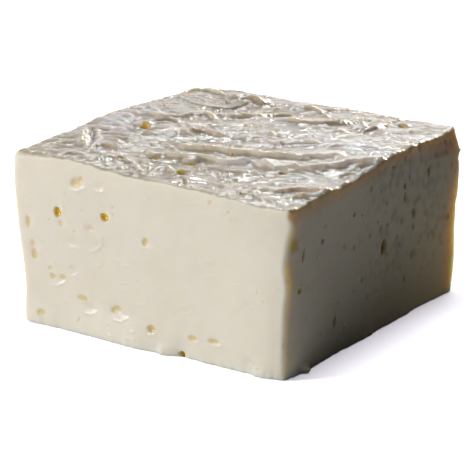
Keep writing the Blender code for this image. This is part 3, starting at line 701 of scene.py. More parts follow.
# Lights: name, azimuth, elevation, distance, size, power, colour, what it lights.
LIGHTS = (
    ("key", -38.0, 9.0, 1.1, (0.8, 0.7), 12.0, (1.0, 0.985, 0.965), "block"),
    ("window_left", -46.0, 38.0, 1.3, (0.28, 0.28), 0.6, (1.0, 0.99, 0.97), "block"),
    ("backdrop", 214.0, 9.0, 2.0, (2.6, 0.9), 5.8, (0.87, 0.98, 1.18), "block"),
    ("glare", 197.0, 15.0, 1.6, (0.75, 0.35), 0.7, (0.885, 0.967, 1.09), "block"),
    ("window_behind", 207.0, 52.0, 1.6, (0.6, 0.30), 5.8, (0.905, 0.997, 1.05), "block"),
    ("glint", 212.0, 37.0, 1.6, (0.30, 0.10), 2.4, (1.0, 1.0, 1.0), "block"),
    ("rake", 188.0, 10.0, 1.6, (0.6, 0.35), 40.0, (1.0, 0.84, 0.62), "block"),
    ("low_behind", 181.0, -0.5, 0.6, (0.05, 0.015), 3.6, (0.72, 0.95, 1.30), "block"),
    ("near_top", 35.0, 70.0, 0.11, (0.04, 0.04), 0.008, (1.0, 1.0, 1.0), "block"),
    ("near_right", 126.0, -9.0, 0.080, (0.02, 0.02), 0.0010, (1.0, 0.86, 0.55), "block"),
    ("near_foot", 22.0, -11.0, 0.083, (0.02, 0.02), 0.0013, (1.0, 0.99, 0.97), "block"),
    ("table_low", -50.0, 25.0, 1.2, (0.5, 0.5), 30.0, (1.0, 1.0, 1.0), "table"),
    ("table_high", 174.0, 78.0, 1.2, (0.42, 0.42), 13.8, (1.0, 0.985, 1.03), "floor"),
)
WORLD_LIGHT = (0.014, 0.014, 0.013)
FLOOR_GLOW = (0.185, 0.180, 0.205, 1)
FLOOR_BOUNCE = (0.435, 0.435, 0.435, 1)
CARD_END, CARD_TOP, CARD_PASS = 0.0345, 0.0415, 0.22
# ---- the block before its fine relief --------------------------------------
def plan_shift(x, y, z):
    """How the upright edges and the foot of the sides swell and draw in."""
    low = 1.0 - z / HEIGHT
    left = 1.1 * hump(z, 34.0, 10.0) + 0.35 * hump(z, 22.0, 7.0) - 0.35 * hump(z, 10.0, 6.0) - 0.3 * hump(z, 0.0, 5.0)
    near = np.exp(-((x + 39.0) ** 2 + (y + 39.0) ** 2) / 24.0 ** 2)
    dx = -0.95 * left * near
    dy = -0.30 * left * near
    far = 0.55 + 0.15 * np.cos(math.tau * (z - 7.0) / 22.0) - 1.4 * hump(z, 42.3, 3.6) + 0.4 * hump(z, 36.6, 0.7) + 0.75 * low
    near = np.exp(-((x - 39.0) ** 2 + (y - 39.0) ** 2) / 22.0 ** 2)
    dx = dx + 0.83 * far * near
    dy = dy + 0.56 * far * near
    wave = 0.75 * hump(z, 38.0, 2.2) - 0.45 * hump(z, 28.5, 3.0) + 0.3 * hump(z, 22.5, 3.0)
    near = np.exp(-((x - 39.0) ** 2 + (y + 39.0) ** 2) / 4.5 ** 2)
    dx = dx + (wave * 0.83 - 0.85 * low) * near
    dy = dy + (wave * 0.56 + 0.75 * low) * near
    dx = dx - low * (0.90 - 0.35 * hump(y, 5.0, 18.0)) * (1.0 - 1.1 * ease((y - 24.0) / 14.0)) * ease((x - 30.0) / 9.0)
    # the far part of the long side draws in at the foot, and its corner runs out
    dx = dx - low * ease((x - 20.0) / 19.0) * (0.40 * ease((y + 2.0) / 6.0) + 0.55 * ease((y - 14.0) / 10.0)
                                               + 0.50 * ease((y - 30.0) / 9.0) + 0.35 * hump(y, -16.0, 4.0))
    dy = dy + 2.1 * low * np.exp(-((x - 39.0) / 22.0) ** 2) * np.exp(-((y - 39.0) / 9.0) ** 2)
    # the foot of the front side: a slight flare, a bulge and small lumps
    face = ease((-y - 30.0) / 9.0)
    foot = ease(1.0 - z / 9.0)
    dy = dy - face * foot * (0.7 * ease((4.0 - x) / 8.0) + 0.35 * hump(x, -34.0, 4.0) + 0.5 * hump(x, -5.0, 9.0)
                             - 0.45 * ease((x - 6.0) / 4.0) + 0.10 * n_a(x / 3.0, 2.2, 4.4))
    toe = ease(1.0 - z / 3.2)
    dy = dy - face * toe * (0.85 * hump(x, 4.0, 2.0) - 0.5 * hump(x, 8.4, 1.5) + 0.55 * hump(x, 30.2, 1.6)
                            + 0.5 * hump(x, 33.0, 2.4) + 0.28 * n_b(x / 1.7, 5.2, 1.4))
    dx = dx + ease((x - 36.0) / 2.0) * toe * 0.22 * n_b(y / 1.9, 7.7, 2.4)
    # the front side turns away a little before the near upright edge
    dy = dy + 0.16 * ease((x - 31.0) / 9.0) ** 2 * ease((-y - 34.0) / 4.0) * ease((z - 4.0) / 20.0)
    # a crumb at the foot of the long side
    dx = dx + 1.5 * hump(y, -30.0, 1.0) * hump(z, 0.9, 1.2) * ease((x - 36.0) / 2.0)
    return dx, dy


def edge_radius(x, y):
    """Rounding of the top edge: soft at the left corner, crisp on the slit side."""
    r = 1.05 + 0.25 * n_a(x / 9.0, y / 9.0, 2.0)
    r = r + 1.0 * np.exp(-((x + 39.0) ** 2 + (y + 39.0) ** 2) / 7.0 ** 2)
    r = r - 0.45 * ease((np.maximum(x, -y) - 34.0) / 4.0)
    return np.clip(r, 0.45, 2.2)


def rounded(P):
    """Points of the sharp box moved on to the block with rounded edges."""
    x, y, z = P[:, 0], P[:, 1], P[:, 2]
    hx, hy = LENGTH / 2, WIDTH / 2
    inset0 = np.maximum(np.minimum(hx - np.abs(x), hy - np.abs(y)), 0.0)
    inset, znew = inset0.copy(), z.copy()
    for r, sign, z_edge in ((edge_radius(x, y), -1.0, HEIGHT), (BASE_EDGE_R + 0.0 * x, 1.0, 0.0)):
        drop = np.abs(z_edge - z)
        s = np.where(inset0 > 1e-9, inset0, -drop)
        s = np.where((inset0 > 1e-9) & (drop > 1e-6), 1e9, s)
        m = np.abs(s) < r
        phi = (1.0 - np.clip(s / r, -1, 1)) * math.pi / 4
        inset = np.where(m, r * (1 - np.sin(phi)), inset)
        znew = np.where(m, z_edge + sign * r * (1 - np.cos(phi)), znew)
    kx = (hx - inset) / np.maximum(hx - inset0, 1e-6)
    ky = (hy - inset) / np.maximum(hy - inset0, 1e-6)
    xn, yn = x * kx, y * ky
    # the upright edges
    r = np.where((x > 0) & (y < 0), 0.7 * UPRIGHT_R, UPRIGHT_R)
    r = np.where((x > 0) & (y > 0), UPRIGHT_R * (1.0 + 1.3 * (1.0 - znew / HEIGHT)), r)
    ax, ay = np.abs(xn) - (hx - r), np.abs(yn) - (hy - r)
    c = (ax > 0) & (ay > 0)
    m = np.maximum(ax, ay)
    d = np.maximum(np.hypot(ax, ay), 1e-9)
    xn = np.where(c, np.sign(xn) * (hx - r + ax * m / d), xn)
    yn = np.where(c, np.sign(yn) * (hy - r + ay * m / d), yn)
    return np.stack([xn, yn, znew], 1)


def pits(a, b, eyes, seed):
    """Depth, amber and olive masks of elliptical eyes over a face."""
    depth = np.zeros_like(a)
    amber = np.zeros_like(a)
    olive = np.zeros_like(a)
    for n, (ea, eb, wide, tall, deep, am, ol, tilt) in enumerate(eyes):
        reach = 1.3 * max(wide, tall)
        near = (np.abs(a - ea) < reach) & (np.abs(b - eb) < reach)
        if not near.any():
            continue
        da, db = a[near] - ea, b[near] - eb
        t = math.radians(tilt)
        p = (da * math.cos(t) + db * math.sin(t)) / (wide / 2)
        q = (-da * math.sin(t) + db * math.cos(t)) / (tall / 2)
        # a little out of round, and narrower towards one end
        r = np.hypot(p, q)
        r = r * (1 + 0.16 * n_b(p * 0.9 + n * 3.7, q * 0.9, seed) + 0.10 * np.clip(p, -1.5, 1.5) * math.sin(n * 2.1))
        shape = np.where(r < 1, (1 - r ** 2.6), 0.0)
        lip = 0.05 * min(1.0, deep) * np.exp(-(((r - 1.12) / 0.16) ** 2))
        depth[near] = np.where(shape > 0, np.maximum(depth[near], deep * shape), depth[near] - lip)
        tint = am * ease((1.12 - r) / 0.45)
        more = tint > amber[near]
        amber[near] = np.where(more, tint, amber[near])
        olive[near] = np.where(more, ol, olive[near])
    return depth, amber, olive


def dimples(a, b, step_a, step_b, half_wide, half_tall):
    """Depth, 0 to 1, of scattered upright dimples, one to a cell of a loose grid."""
    depth = np.zeros_like(a)
    ca, cb = np.floor(a / step_a), np.floor(b / step_b)
    for i in (-1, 0, 1):
        for j in (-1, 0, 1):
            ka, kb = ca + i, cb + j
            r1, r2, r3 = (0.5 + 1.7 * n(ka * 0.731 + 0.37, kb * 0.619 + 0.41, 0.5)
                          for n in (n_a, n_b, n_c))
            pa = (ka + np.clip(r1, 0, 1)) * step_a
            pb = (kb + np.clip(r2, 0, 1)) * step_b
            grow = np.clip(0.35 + 1.1 * np.clip(r3, 0, 1), 0, 1.3)
            q = ((a - pa) / (half_wide * (0.6 + 0.4 * grow))) ** 2 + ((b - pb) / (half_tall * grow)) ** 2
            depth = np.maximum(depth, np.clip(grow - 0.35, 0, 1) * np.exp(-q ** 1.3))
    return depth


# ---- mesh ------------------------------------------------------------------
def box_mesh():
    """Triangles over the sharp box, about 3 mm apart on every side."""
    nx, ny, nz = 26, 26, 14
    hx, hy = LENGTH / 2, WIDTH / 2
    ids, verts, tris = {}, [], []

    def vert(i, j, k):
        key = (i, j, k)
        if key not in ids:
            ids[key] = len(verts)
            verts.append((-hx + LENGTH * i / nx, -hy + WIDTH * j / ny, HEIGHT * k / nz))
        return ids[key]

    def quad(a, b, c, d, flip):
        if flip:
            tris.append((a, b, d)); tris.append((b, c, d))
        else:
            tris.append((a, b, c)); tris.append((a, c, d))

    for i in range(nx):
        for j in range(ny):
            f = (i + j) % 2
            quad(vert(i, j, nz), vert(i + 1, j, nz), vert(i + 1, j + 1, nz), vert(i, j + 1, nz), f)
            quad(vert(i, j, 0), vert(i, j + 1, 0), vert(i + 1, j + 1, 0), vert(i + 1, j, 0), f)
    for k in range(nz):
        for i in range(nx):
            f = (i + k) % 2
            quad(vert(i, 0, k), vert(i + 1, 0, k), vert(i + 1, 0, k + 1), vert(i, 0, k + 1), f)
            quad(vert(i, ny, k), vert(i, ny, k + 1), vert(i + 1, ny, k + 1), vert(i + 1, ny, k), f)
        for j in range(ny):
            f = (j + k) % 2
            quad(vert(nx, j, k), vert(nx, j + 1, k), vert(nx, j + 1, k + 1), vert(nx, j, k + 1), f)
            quad(vert(0, j, k), vert(0, j, k + 1), vert(0, j + 1, k + 1), vert(0, j + 1, k), f)
    return np.array(verts, float), np.array(tris, int)


def wanted_size(M):
    """Longest triangle edge wanted at box points M."""
    x, y, z = M[:, 0], M[:, 1], M[:, 2]
    hx, hy = LENGTH / 2, WIDTH / 2
    top = z > HEIGHT - 1e-6
    bottom = z < 1e-6
    inset = np.minimum(hx - np.abs(x), hy - np.abs(y))
    size = np.full(len(M), 1.6)
    on_long = x > hx - 1e-6
    size[on_long & (y > -14.0) & (z > 8.0)] = 0.8
    front = np.nonzero((y < -hy + 1e-6) & ~top)[0]
    fine = line_relief(x[front], z[front], LIPS) > 0.012
    coarse = spot_relief(x[front], z[front], DENTS) < -0.03
    size[front] = np.where(fine, 0.42, np.where(coarse, 0.8, size[front]))
    size[HEIGHT - z < 2.6] = 0.62
    corner = np.maximum(hx - np.abs(x), hy - np.abs(y))
    size[corner < 2.2] = 0.8
    size[z < 1.3] = 0.8
    size[bottom & (inset > 1.0)] = 6.0
    size[top] = TOP_SIZE

    def eye_size(mask, a, b, eyes, turn=False):
        idx = np.nonzero(mask)[0]
        if turn:
            a, b = a * COS_A + b * SIN_A, -a * SIN_A + b * COS_A
        a, b = a[idx], b[idx]
        s = size[idx]
        for e in eyes:
            t = math.radians(e[7])
            da, db = a - e[0], b - e[1]
            p = (da * math.cos(t) + db * math.sin(t)) / (e[2] / 2 + 0.35)
            q = (-da * math.sin(t) + db * math.cos(t)) / (e[3] / 2 + 0.35)
            fine = 0.28 if e[4] >= 0.4 else 0.42
            s = np.where(np.hypot(p, q) < 1.0, np.minimum(s, fine), s)
        size[idx] = s

    eye_size(y < -hy + 1e-6, x, z, FRONT_EYES)
    eye_size(x > hx - 1e-6, y, z, SIDE_EYES)
    eye_size(y > hy - 1e-6, x, z, BACK_EYES)
    eye_size(x < -hx + 1e-6, y, z, LEFT_EYES)
    eye_size(top, x, y, TOP_EYES, turn=True)
    return size


def refine(P, T):
    """Halves long triangles along their longest edge until all are small enough."""
    for _ in range(16):
        n = len(T)
        E = np.sort(T[:, [0, 1, 1, 2, 2, 0]].reshape(-1, 2), axis=1)
        key = E[:, 0] * len(P) + E[:, 1]
        uniq, first, inv = np.unique(key, return_index=True, return_inverse=True)
        U = E[first]
        inv = inv.reshape(n, 3)
        length = np.linalg.norm(P[U[:, 0]] - P[U[:, 1]], axis=1)
        mid = (P[U[:, 0]] + P[U[:, 1]]) / 2
        mark = length > wanted_size(mid) * 1.02
        if not mark.any():
            break
        # the longest edge goes first, and ties break the same way everywhere
        order = length[inv] + 1e-9 * (inv % 977)
        longest = np.argmax(order, axis=1)
        rows = np.arange(n)
        lead = inv[rows, longest]
        while True:
            new = mark[inv].any(axis=1) & ~mark[lead]
            if not new.any():
                break
            mark[lead[new]] = True
        ids = np.full(len(U), -1)
        ids[mark] = len(P) + np.arange(mark.sum())
        P = np.vstack([P, mid[mark]])
        a, b, c = (T[rows, (longest + s) % 3] for s in range(3))
        m0, m1, m2 = (ids[inv[rows, (longest + s) % 3]] for s in range(3))
        cut0, cut1, cut2 = m0 >= 0, m1 >= 0, m2 >= 0
        parts = [T[~cut0]]
        tri = lambda m, *v: parts.append(np.stack([w[m] for w in v], 1))
        tri(cut0 & ~cut2, a, m0, c)
        tri(cut0 & cut2, a, m0, m2)
        tri(cut0 & cut2, m2, m0, c)
        tri(cut0 & ~cut1, m0, b, c)
        tri(cut0 & cut1, m0, b, m1)
        tri(cut0 & cut1, m0, m1, c)
        T = np.vstack(parts)
    return P, T


def random_eyes(seed, count, along_half):
    """Eyes for a side that is seen only from behind, like those in front."""
    rng = np.random.RandomState(seed)
    eyes = []
    while len(eyes) < count:
        a = rng.uniform(-along_half + 3, along_half - 3)
        b = rng.uniform(2.5, HEIGHT - 3)
        big = rng.rand() < 0.4
        w = rng.uniform(1.4, 2.6) if big else rng.uniform(0.6, 1.2)
        t = w * rng.uniform(0.65, 1.3)
        d = rng.uniform(0.5, 1.0) if big else rng.uniform(0.2, 0.35)
        if all(math.hypot(a - e[0], b - e[1]) > 3.0 for e in eyes):
            eyes.append((a, b, w, t, d, rng.uniform(0.45, 0.95) if big else rng.uniform(0.2, 0.45),
                         rng.uniform(0.0, 0.6), rng.uniform(-30, 30)))
    return tuple(eyes)


TOP_SIZE = 0.62
BACK_EYES = random_eyes(5, 26, 39.0)
LEFT_EYES = random_eyes(9, 26, 39.0)
TOP_EYES = tuple(e + (0.0,) for e in TOP_EYES)

P, T = box_mesh()
P, T = refine(P, T)
x0, y0, z0 = P.T
hx, hy = LENGTH / 2, WIDTH / 2
on_top = z0 > HEIGHT - 1e-6
on_front = y0 < -hy + 1e-6
on_side = x0 > hx - 1e-6
on_back = y0 > hy - 1e-6
on_left = x0 < -hx + 1e-6

B = rounded(P)
x, y, z = B.T
# eyes
depth_top = np.zeros(len(P)); amber = np.zeros(len(P)); olive = np.zeros(len(P))
u, v = x * COS_A + y * SIN_A, -x * SIN_A + y * COS_A
push = np.zeros((len(P), 3))


def add_eyes(mask, a, b, eyes, direction, seed):
    d, am, ol = pits(a[mask], b[mask], eyes, seed)
    for k in range(3):
        push[mask, k] += direction[k] * d
    amber[mask] = np.maximum(amber[mask], am)
    olive[mask] = np.where(am > 0, ol, olive[mask])


add_eyes(on_top, u, v, TOP_EYES, (0, 0, -1), 1.1)
add_eyes(on_front, x, z, FRONT_EYES, (0, 1, 0), 2.2)
add_eyes(on_side, y, z, SIDE_EYES, (-1, 0, 0), 3.3)
add_eyes(on_back, x, z, BACK_EYES, (0, -1, 0), 4.4)
add_eyes(on_left, y, z, LEFT_EYES, (1, 0, 0), 5.5)

# where the skin on top is, and how near a point is to the top edge
skin = ease((z - HEIGHT + 0.32) / 0.30)
kxy = BASE_SCALE + (1.0 - BASE_SCALE) * np.clip(z / HEIGHT, 0, 1)
dx, dy = plan_shift(x, y, z)
flat = (top_height(x, y, ROLLS) + cross_height(u, v)
        + line_relief(u, v, FOLDS) + spot_relief(u, v, BEADS))
# a thin curled lip of skin along the edge over the long side
flat = flat + 0.38 * hump(x, 38.1, 0.55) * ease(0.35 + 1.3 * n_b(y / 2.6, 3.3, 1.2))
lift = top_rise(x, y) * z / HEIGHT + flat * ease((z - HEIGHT + 3.0) / 3.0)
F = np.stack([x * kxy + dx, y * kxy + dy, np.where(z > 1e-6, z + lift, 0.0)], 1)

# the sides: hand-made unevenness, small dimples, upright slits on the long side
inner = ease(z / 2.0) * ease((HEIGHT - z) / 1.0)
soft = lambda a, b, s: 0.10 * n_a(a / 11.0, b / 9.0, s) + 0.035 * n_b(a / 3.0, b / 3.0, s) + 0.014 * n_c(a / 1.1, b / 1.1, s)
side_y = soft(x, z, 4.2) * inner
near_front = on_front & (z > 0.3)
marks = np.zeros(len(P))
marks[near_front] = (spot_relief(x[near_front], z[near_front], DENTS)
                     + line_relief(x[near_front], z[near_front], LIPS))
side_x = soft(y, z, 8.4) * inner
pocked = ease((y + 14.0) / 20.0) * ease((z - 6.0) / 12.0)
pocks_and_shade = dimples(y, z, 2.4, 2.1, 0.62, 0.78) * pocked + 0.5 * dimples(y, z + 1.0, 4.3, 3.7, 0.45, 0.6)
pocks_and_shade = np.where(on_side, pocks_and_shade * inner, 0.0)
slit = 0.45 * pocks_and_shade
F[:, 1] += np.where(on_front, side_y - marks, 0) - np.where(on_back, side_y, 0)
F[:, 0] += np.where(on_left, side_x, 0) - np.where(on_side, side_x + slit, 0)
F += push
# nothing reaches under the base
F[:, 2] = np.where(z0 < 1e-6, 0.0, np.maximum(F[:, 2], 0.0))

centre = np.array([(F[:, 0].min() + F[:, 0].max()) / 2, (F[:, 1].min() + F[:, 1].max()) / 2, 0.0])
mesh = bpy.data.meshes.new("cheese_block_skin")
mesh.vertices.add(len(F))
mesh.vertices.foreach_set("co", ((F - centre) * MM).astype(np.float32).ravel())
mesh.loops.add(len(T) * 3)
mesh.loops.foreach_set("vertex_index", T.astype(np.int32).ravel())
mesh.polygons.add(len(T))
mesh.polygons.foreach_set("loop_start", (np.arange(len(T)) * 3).astype(np.int32))
mesh.polygons.foreach_set("loop_total", np.full(len(T), 3, np.int32))
mesh.update(calc_edges=True)
mesh.validate()
mesh.shade_smooth()


def attribute(name, values):
    layer = mesh.attributes.new(name, "FLOAT", "POINT")
    layer.data.foreach_set("value", np.asarray(values, np.float32))


attribute("eye", np.clip(amber, 0, 1))
attribute("olive", np.clip(olive, 0, 1))
attribute("skin", np.clip(skin, 0, 1))
# the band just under the top edge, and the strips beside the upright edges: light reaches further through the skin
# there, and their colour is painted glow of light shining through the edges
deep = 2.2 + 3.0 * ease((y - 18.0) / 20.0) + 0.7 * n_a(y / 6.0, 1.7, 3.0)
rim_glow = hump(z, HEIGHT, 1.3 * deep)
lip = np.where(on_side, ease((z - HEIGHT + 1.5) / 1.1) * (1.0 - 0.6 * ease((y - 33.0) / 5.0)), 0)
crest = ease((y - 37.4) / 1.0)
far_glow_strip = hump(y, 37.0, 5.0 + 0.6 * n_b(z / 5.0, 4.4, 1.0)) * (1.0 - 0.9 * crest) * (0.10 + 0.90 * ease((35.0 - z) / 16.0))
near_glow_strip = 0.85 * hump(y, -39.0, 2.3) * (0.30 + 1.1 * np.clip(n_a(z / 7.0, 0.4, 8.8) + 0.25, 0, 1))
attribute("rim_glow", np.clip(np.where(on_side, rim_glow, 0), 0, 1))
attribute("glow_strip", np.clip(np.where(on_side, np.maximum(far_glow_strip, near_glow_strip), 0), 0, 1))
attribute("crest", np.maximum(lip, np.where(on_side | on_back, crest * ease((x - 37.0) / 1.0) * ease((40.0 - z) / 4.0), 0)))
# wet places of the front side, in its dents and on their lips
damp = np.zeros(len(P))
damp[near_front] = np.clip(line_relief(x[near_front], z[near_front], LIPS) * 9.0
                           - spot_relief(x[near_front], z[near_front], DENTS) * 2.0, 0, 1)
attribute("damp", np.where(on_front, np.maximum(damp, amber), 0))
# painted shade: the dimples and deep eyes of the long side are darkened in colour
attribute("pocks_and_shade", np.clip(0.37 * pocks_and_shade + np.where(on_side, 0.95 * ease(-push[:, 0] / 1.1), 0), 0, 1))


def smoothed(values, times):
    """The values averaged over their neighbours in the mesh, again and again."""
    E = T[:, [0, 1, 1, 2, 2, 0]].reshape(-1, 2)
    a, b = np.concatenate([E[:, 0], E[:, 1]]), np.concatenate([E[:, 1], E[:, 0]])
    count = np.bincount(a, minlength=len(values))
    for _ in range(times):
        values = 0.5 * values + 0.5 * np.bincount(a, values[b], len(values)) / count
    return values


# how far a point stands out of the skin round it, used to paint shade into the hollows of the skin and light onto its
# crests
attribute("height", np.clip(0.5 + 1.3 * (flat - smoothed(flat, 24)) + flat / 8.0, 0, 1))
warm = np.zeros(len(P))
for wu, wv, ru, rv, amount in WARM:
    warm = np.maximum(warm, amount * np.exp(-(((u - wu) / ru) ** 2 + ((v - wv) / rv) ** 2)))
attribute("warm", np.where(on_top, warm, 0))
# painted highlight: the skin is paler along the edge over the long side and in the sheen patches
painted_sheen = 0.8 * ease((x - 36.6) / 1.4) * ease((y + 36.0) / 10.0)
for wu, wv, ru, rv, amount in SHEEN_PATCHES:
    painted_sheen = np.maximum(painted_sheen, amount * np.exp(-(((u - wu) / ru) ** 2 + ((v - wv) / rv) ** 2)))
attribute("painted_sheen", np.where(on_top, painted_sheen, 0))
# painted shade: darker patches of the skin
painted_shade = np.zeros(len(P))
for wu, wv, ru, rv, amount in SHADE_PATCHES:
    painted_shade = np.maximum(painted_shade, amount * np.exp(-(((u - wu) / ru) ** 2 + ((v - wv) / rv) ** 2)))
attribute("painted_shade", np.where(on_top, painted_shade, 0))

block = bpy.data.objects.new("cheese_block_body", mesh)
bpy.context.scene.collection.objects.link(block)
print("triangles", len(T), "bounds", (F.min(0) - centre).round(2), (F.max(0) - centre).round(2), "centre", centre.round(3))


# ---- material --------------------------------------------------------------
class Graph:
    """Small helper for building a node tree."""

    def __init__(self, material):
        material.use_nodes = True
        self.tree = material.node_tree
        self.bsdf = self.tree.nodes["Principled BSDF"]

    def node(self, kind, **settings):
        n = self.tree.nodes.new(kind)
        for k, val in settings.items():
            setattr(n, k, val)
        return n

    def put(self, socket, value):
        if isinstance(value, bpy.types.NodeSocket):
            self.tree.links.new(value, socket)
        else:
            socket.default_value = value

    def attr(self, name):
        return self.node("ShaderNodeAttribute", attribute_name=name).outputs["Fac"]

    def math(self, op, a, b=0.0, clamp=False):
        n = self.node("ShaderNodeMath", operation=op, use_clamp=clamp)
        self.put(n.inputs[0], a)
        self.put(n.inputs[1], b)
        return n.outputs[0]

    def mix(self, factor, a, b, blend="MIX"):
        n = self.node("ShaderNodeMix", data_type="RGBA", blend_type=blend)
        self.put(n.inputs[0], factor)
        self.put(n.inputs[6], a)
        self.put(n.inputs[7], b)
        return n.outputs[2]

    def ramp(self, value, lo, hi, to_lo=0.0, to_hi=1.0, smooth=True):
        n = self.node("ShaderNodeMapRange", interpolation_type="SMOOTHSTEP" if smooth else "LINEAR")
        self.put(n.inputs[0], value)
        for k, val in zip((1, 2, 3, 4), (lo, hi, to_lo, to_hi)):
            self.put(n.inputs[k], val)
        return n.outputs[0]

    def noise(self, vector, scale, detail=2.0, rough=0.5):
        n = self.node("ShaderNodeTexNoise")
        self.put(n.inputs["Vector"], vector)
        n.inputs["Scale"].default_value = scale
        n.inputs["Detail"].default_value = detail
        n.inputs["Roughness"].default_value = rough
        return n.outputs["Fac"]


def cheese_material():
    mat = bpy.data.materials.new("fresh_cheese")
    g = Graph(mat)
    where = g.node("ShaderNodeTexCoord").outputs["Object"]
    eye, olive_, skin_ = g.attr("eye"), g.attr("olive"), g.attr("skin")
    rim_glow_, warm_, relief_shade_ = g.attr("rim_glow"), g.attr("warm"), g.attr("height")

    big = g.noise(where, 70.0, 2.0)
    mid = g.noise(where, 320.0, 3.0)
    tiny = g.noise(where, 1500.0, 2.0)

    cream = g.mix(g.ramp(big, 0.3, 0.7), (*CREAM_A, 1), (*CREAM_B, 1))
    cream = g.mix(g.ramp(mid, 0.35, 0.75, 0.0, 0.35), cream, (*CREAM_C, 1))
    # painted shade and light: the skin is darker in its hollows and paler on its crests
    whey = g.mix(g.ramp(relief_shade_, 0.22, 0.72), (*WHEY_HOLLOW_SHADE, 1), (*WHEY_CREST_LIGHT, 1))
    whey = g.mix(g.ramp(mid, 0.40, 0.70, 0.0, 0.35), whey, (*WHEY_WARM, 1))
    whey = g.mix(warm_, whey, (*WHEY_DEEP, 1))
    # painted highlight: paler, bluish-white skin, brightest on the crests
    whey = g.mix(g.math("MULTIPLY", g.attr("painted_sheen"), g.ramp(relief_shade_, 0.25, 0.6, 0.35, 1.0)), whey, (*WHEY_SHEEN, 1))
    # painted shade: darker patches of the skin
    whey = g.mix(g.attr("painted_shade"), whey, (*WHEY_PATCH_SHADE, 1))
    body = g.mix(skin_, cream, whey)
    # painted glow: a warm tint in the band under the top edge of the long side, for light shining through the edge
    body = g.mix(rim_glow_, body, (*RIM_GLOW_TINT, 1), "MULTIPLY")
    # painted glow: bright amber strips beside the upright edges of the long side, for light shining through them
    body = g.mix(g.attr("glow_strip"), body, (*GLOW_STRIP_COLOUR, 1))
    # eyes: a pale amber halo, deep amber only in the deepest ones
    pale = g.mix(olive_, (*AMBER_PALE, 1), (*OLIVE_PALE, 1))
    dark = g.mix(olive_, (*AMBER, 1), (*OLIVE, 1))
    inside = g.mix(g.ramp(eye, 0.55, 0.95), pale, dark)
    colour = g.mix(g.ramp(eye, 0.0, 0.55), body, inside)
    # painted shade: dimples and deep eyes of the long side darkened
    colour = g.mix(g.attr("pocks_and_shade"), colour, (*POCK_SHADE_COLOUR, 1), "MULTIPLY")
    g.put(g.bsdf.inputs["Base Color"], colour)

    rough = g.mix(skin_, (ROUGH_SIDE,) * 3 + (1,), (ROUGH_TOP,) * 3 + (1,))
    rough = g.math("ADD", rough, g.ramp(mid, 0.2, 0.8, -0.07, 0.07, smooth=False))
    rough = g.math("SUBTRACT", rough, g.math("MULTIPLY", eye, 0.12), clamp=True)
    rough = g.math("SUBTRACT", rough, g.math("MULTIPLY", g.attr("damp"), 0.08), clamp=True)
    g.put(g.bsdf.inputs["Roughness"], rough)
    wet = g.ramp(g.noise(where, 110.0, 2.0), 0.35, 0.65, COAT_TOP[0], COAT_TOP[1])
    wet = g.math("MAXIMUM", g.math("MULTIPLY", skin_, wet), g.math("MULTIPLY", g.attr("damp"), 0.9))
    g.put(g.bsdf.inputs["Coat Weight"], wet)
    g.bsdf.inputs["Coat Roughness"].default_value = 0.10
    g.bsdf.inputs["Coat IOR"].default_value = 1.36
    g.bsdf.inputs["IOR"].default_value = 1.42
    g.bsdf.inputs["Subsurface Radius"].default_value = SSS_RADIUS
    # light from the neighbouring sides reaches further through the edges
    edge = g.math("MAXIMUM", g.math("MULTIPLY", rim_glow_, 0.35), g.attr("glow_strip"))
    weight = g.math("ADD", g.math("MULTIPLY", edge, 0.95 - SSS_WEIGHT), SSS_WEIGHT)
    weight = g.math("MULTIPLY", weight, g.math("SUBTRACT", 1.0, g.math("MULTIPLY", g.attr("crest"), 0.75)))
    g.put(g.bsdf.inputs["Subsurface Weight"], weight)
    g.put(g.bsdf.inputs["Subsurface Scale"], g.math("ADD", g.math("MULTIPLY", edge, 1.2), 1.0))

    # fine relief that is smaller than the mesh
    grain = g.math("ADD", g.math("MULTIPLY", mid, 0.6), g.math("MULTIPLY", tiny, 0.25))
    bump = g.node("ShaderNodeBump")
    bump.inputs["Distance"].default_value = 0.00012
    g.put(bump.inputs["Strength"], g.ramp(skin_, 0.0, 1.0, 1.0, 0.45))
    g.put(bump.inputs["Height"], grain)
    g.put(g.bsdf.inputs["Normal"], bump.outputs[0])
    return mat


CREAM_A, CREAM_B, CREAM_C = (0.86, 0.80, 0.685), (0.83, 0.775, 0.66), (0.88, 0.835, 0.74)
# skin colours: the hollow and crest tones paint shade into hollows and light onto crests
# the sheen colour is a painted highlight
WHEY_HOLLOW_SHADE, WHEY_CREST_LIGHT, WHEY_SHEEN = (0.55, 0.457, 0.340), (0.83, 0.740, 0.610), (0.93, 0.878, 0.885)
# colour of the painted shade patches
WHEY_PATCH_SHADE = (0.49, 0.388, 0.272)
WHEY_WARM, WHEY_DEEP = (0.71, 0.603, 0.47), (0.58, 0.39, 0.26)
# painted glow colours of light shining through the edges of the long side
RIM_GLOW_TINT, GLOW_STRIP_COLOUR = (0.92, 0.74, 0.52), (1.0, 0.80, 0.47)
# painted shade colour of the dimples and deep eyes
POCK_SHADE_COLOUR = (0.52, 0.50, 0.47)
AMBER, OLIVE = (0.80, 0.53, 0.02), (0.60, 0.50, 0.07)
AMBER_PALE, OLIVE_PALE = (0.80, 0.65, 0.36), (0.74, 0.67, 0.38)
ROUGH_SIDE, ROUGH_TOP, COAT_TOP = 0.46, 0.34, (0.45, 1.0)
SSS_WEIGHT, SSS_RADIUS = 0.5, (0.0036, 0.0027, 0.0014)

mesh.materials.append(cheese_material())
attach(block, "root")
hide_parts("cheese_block")

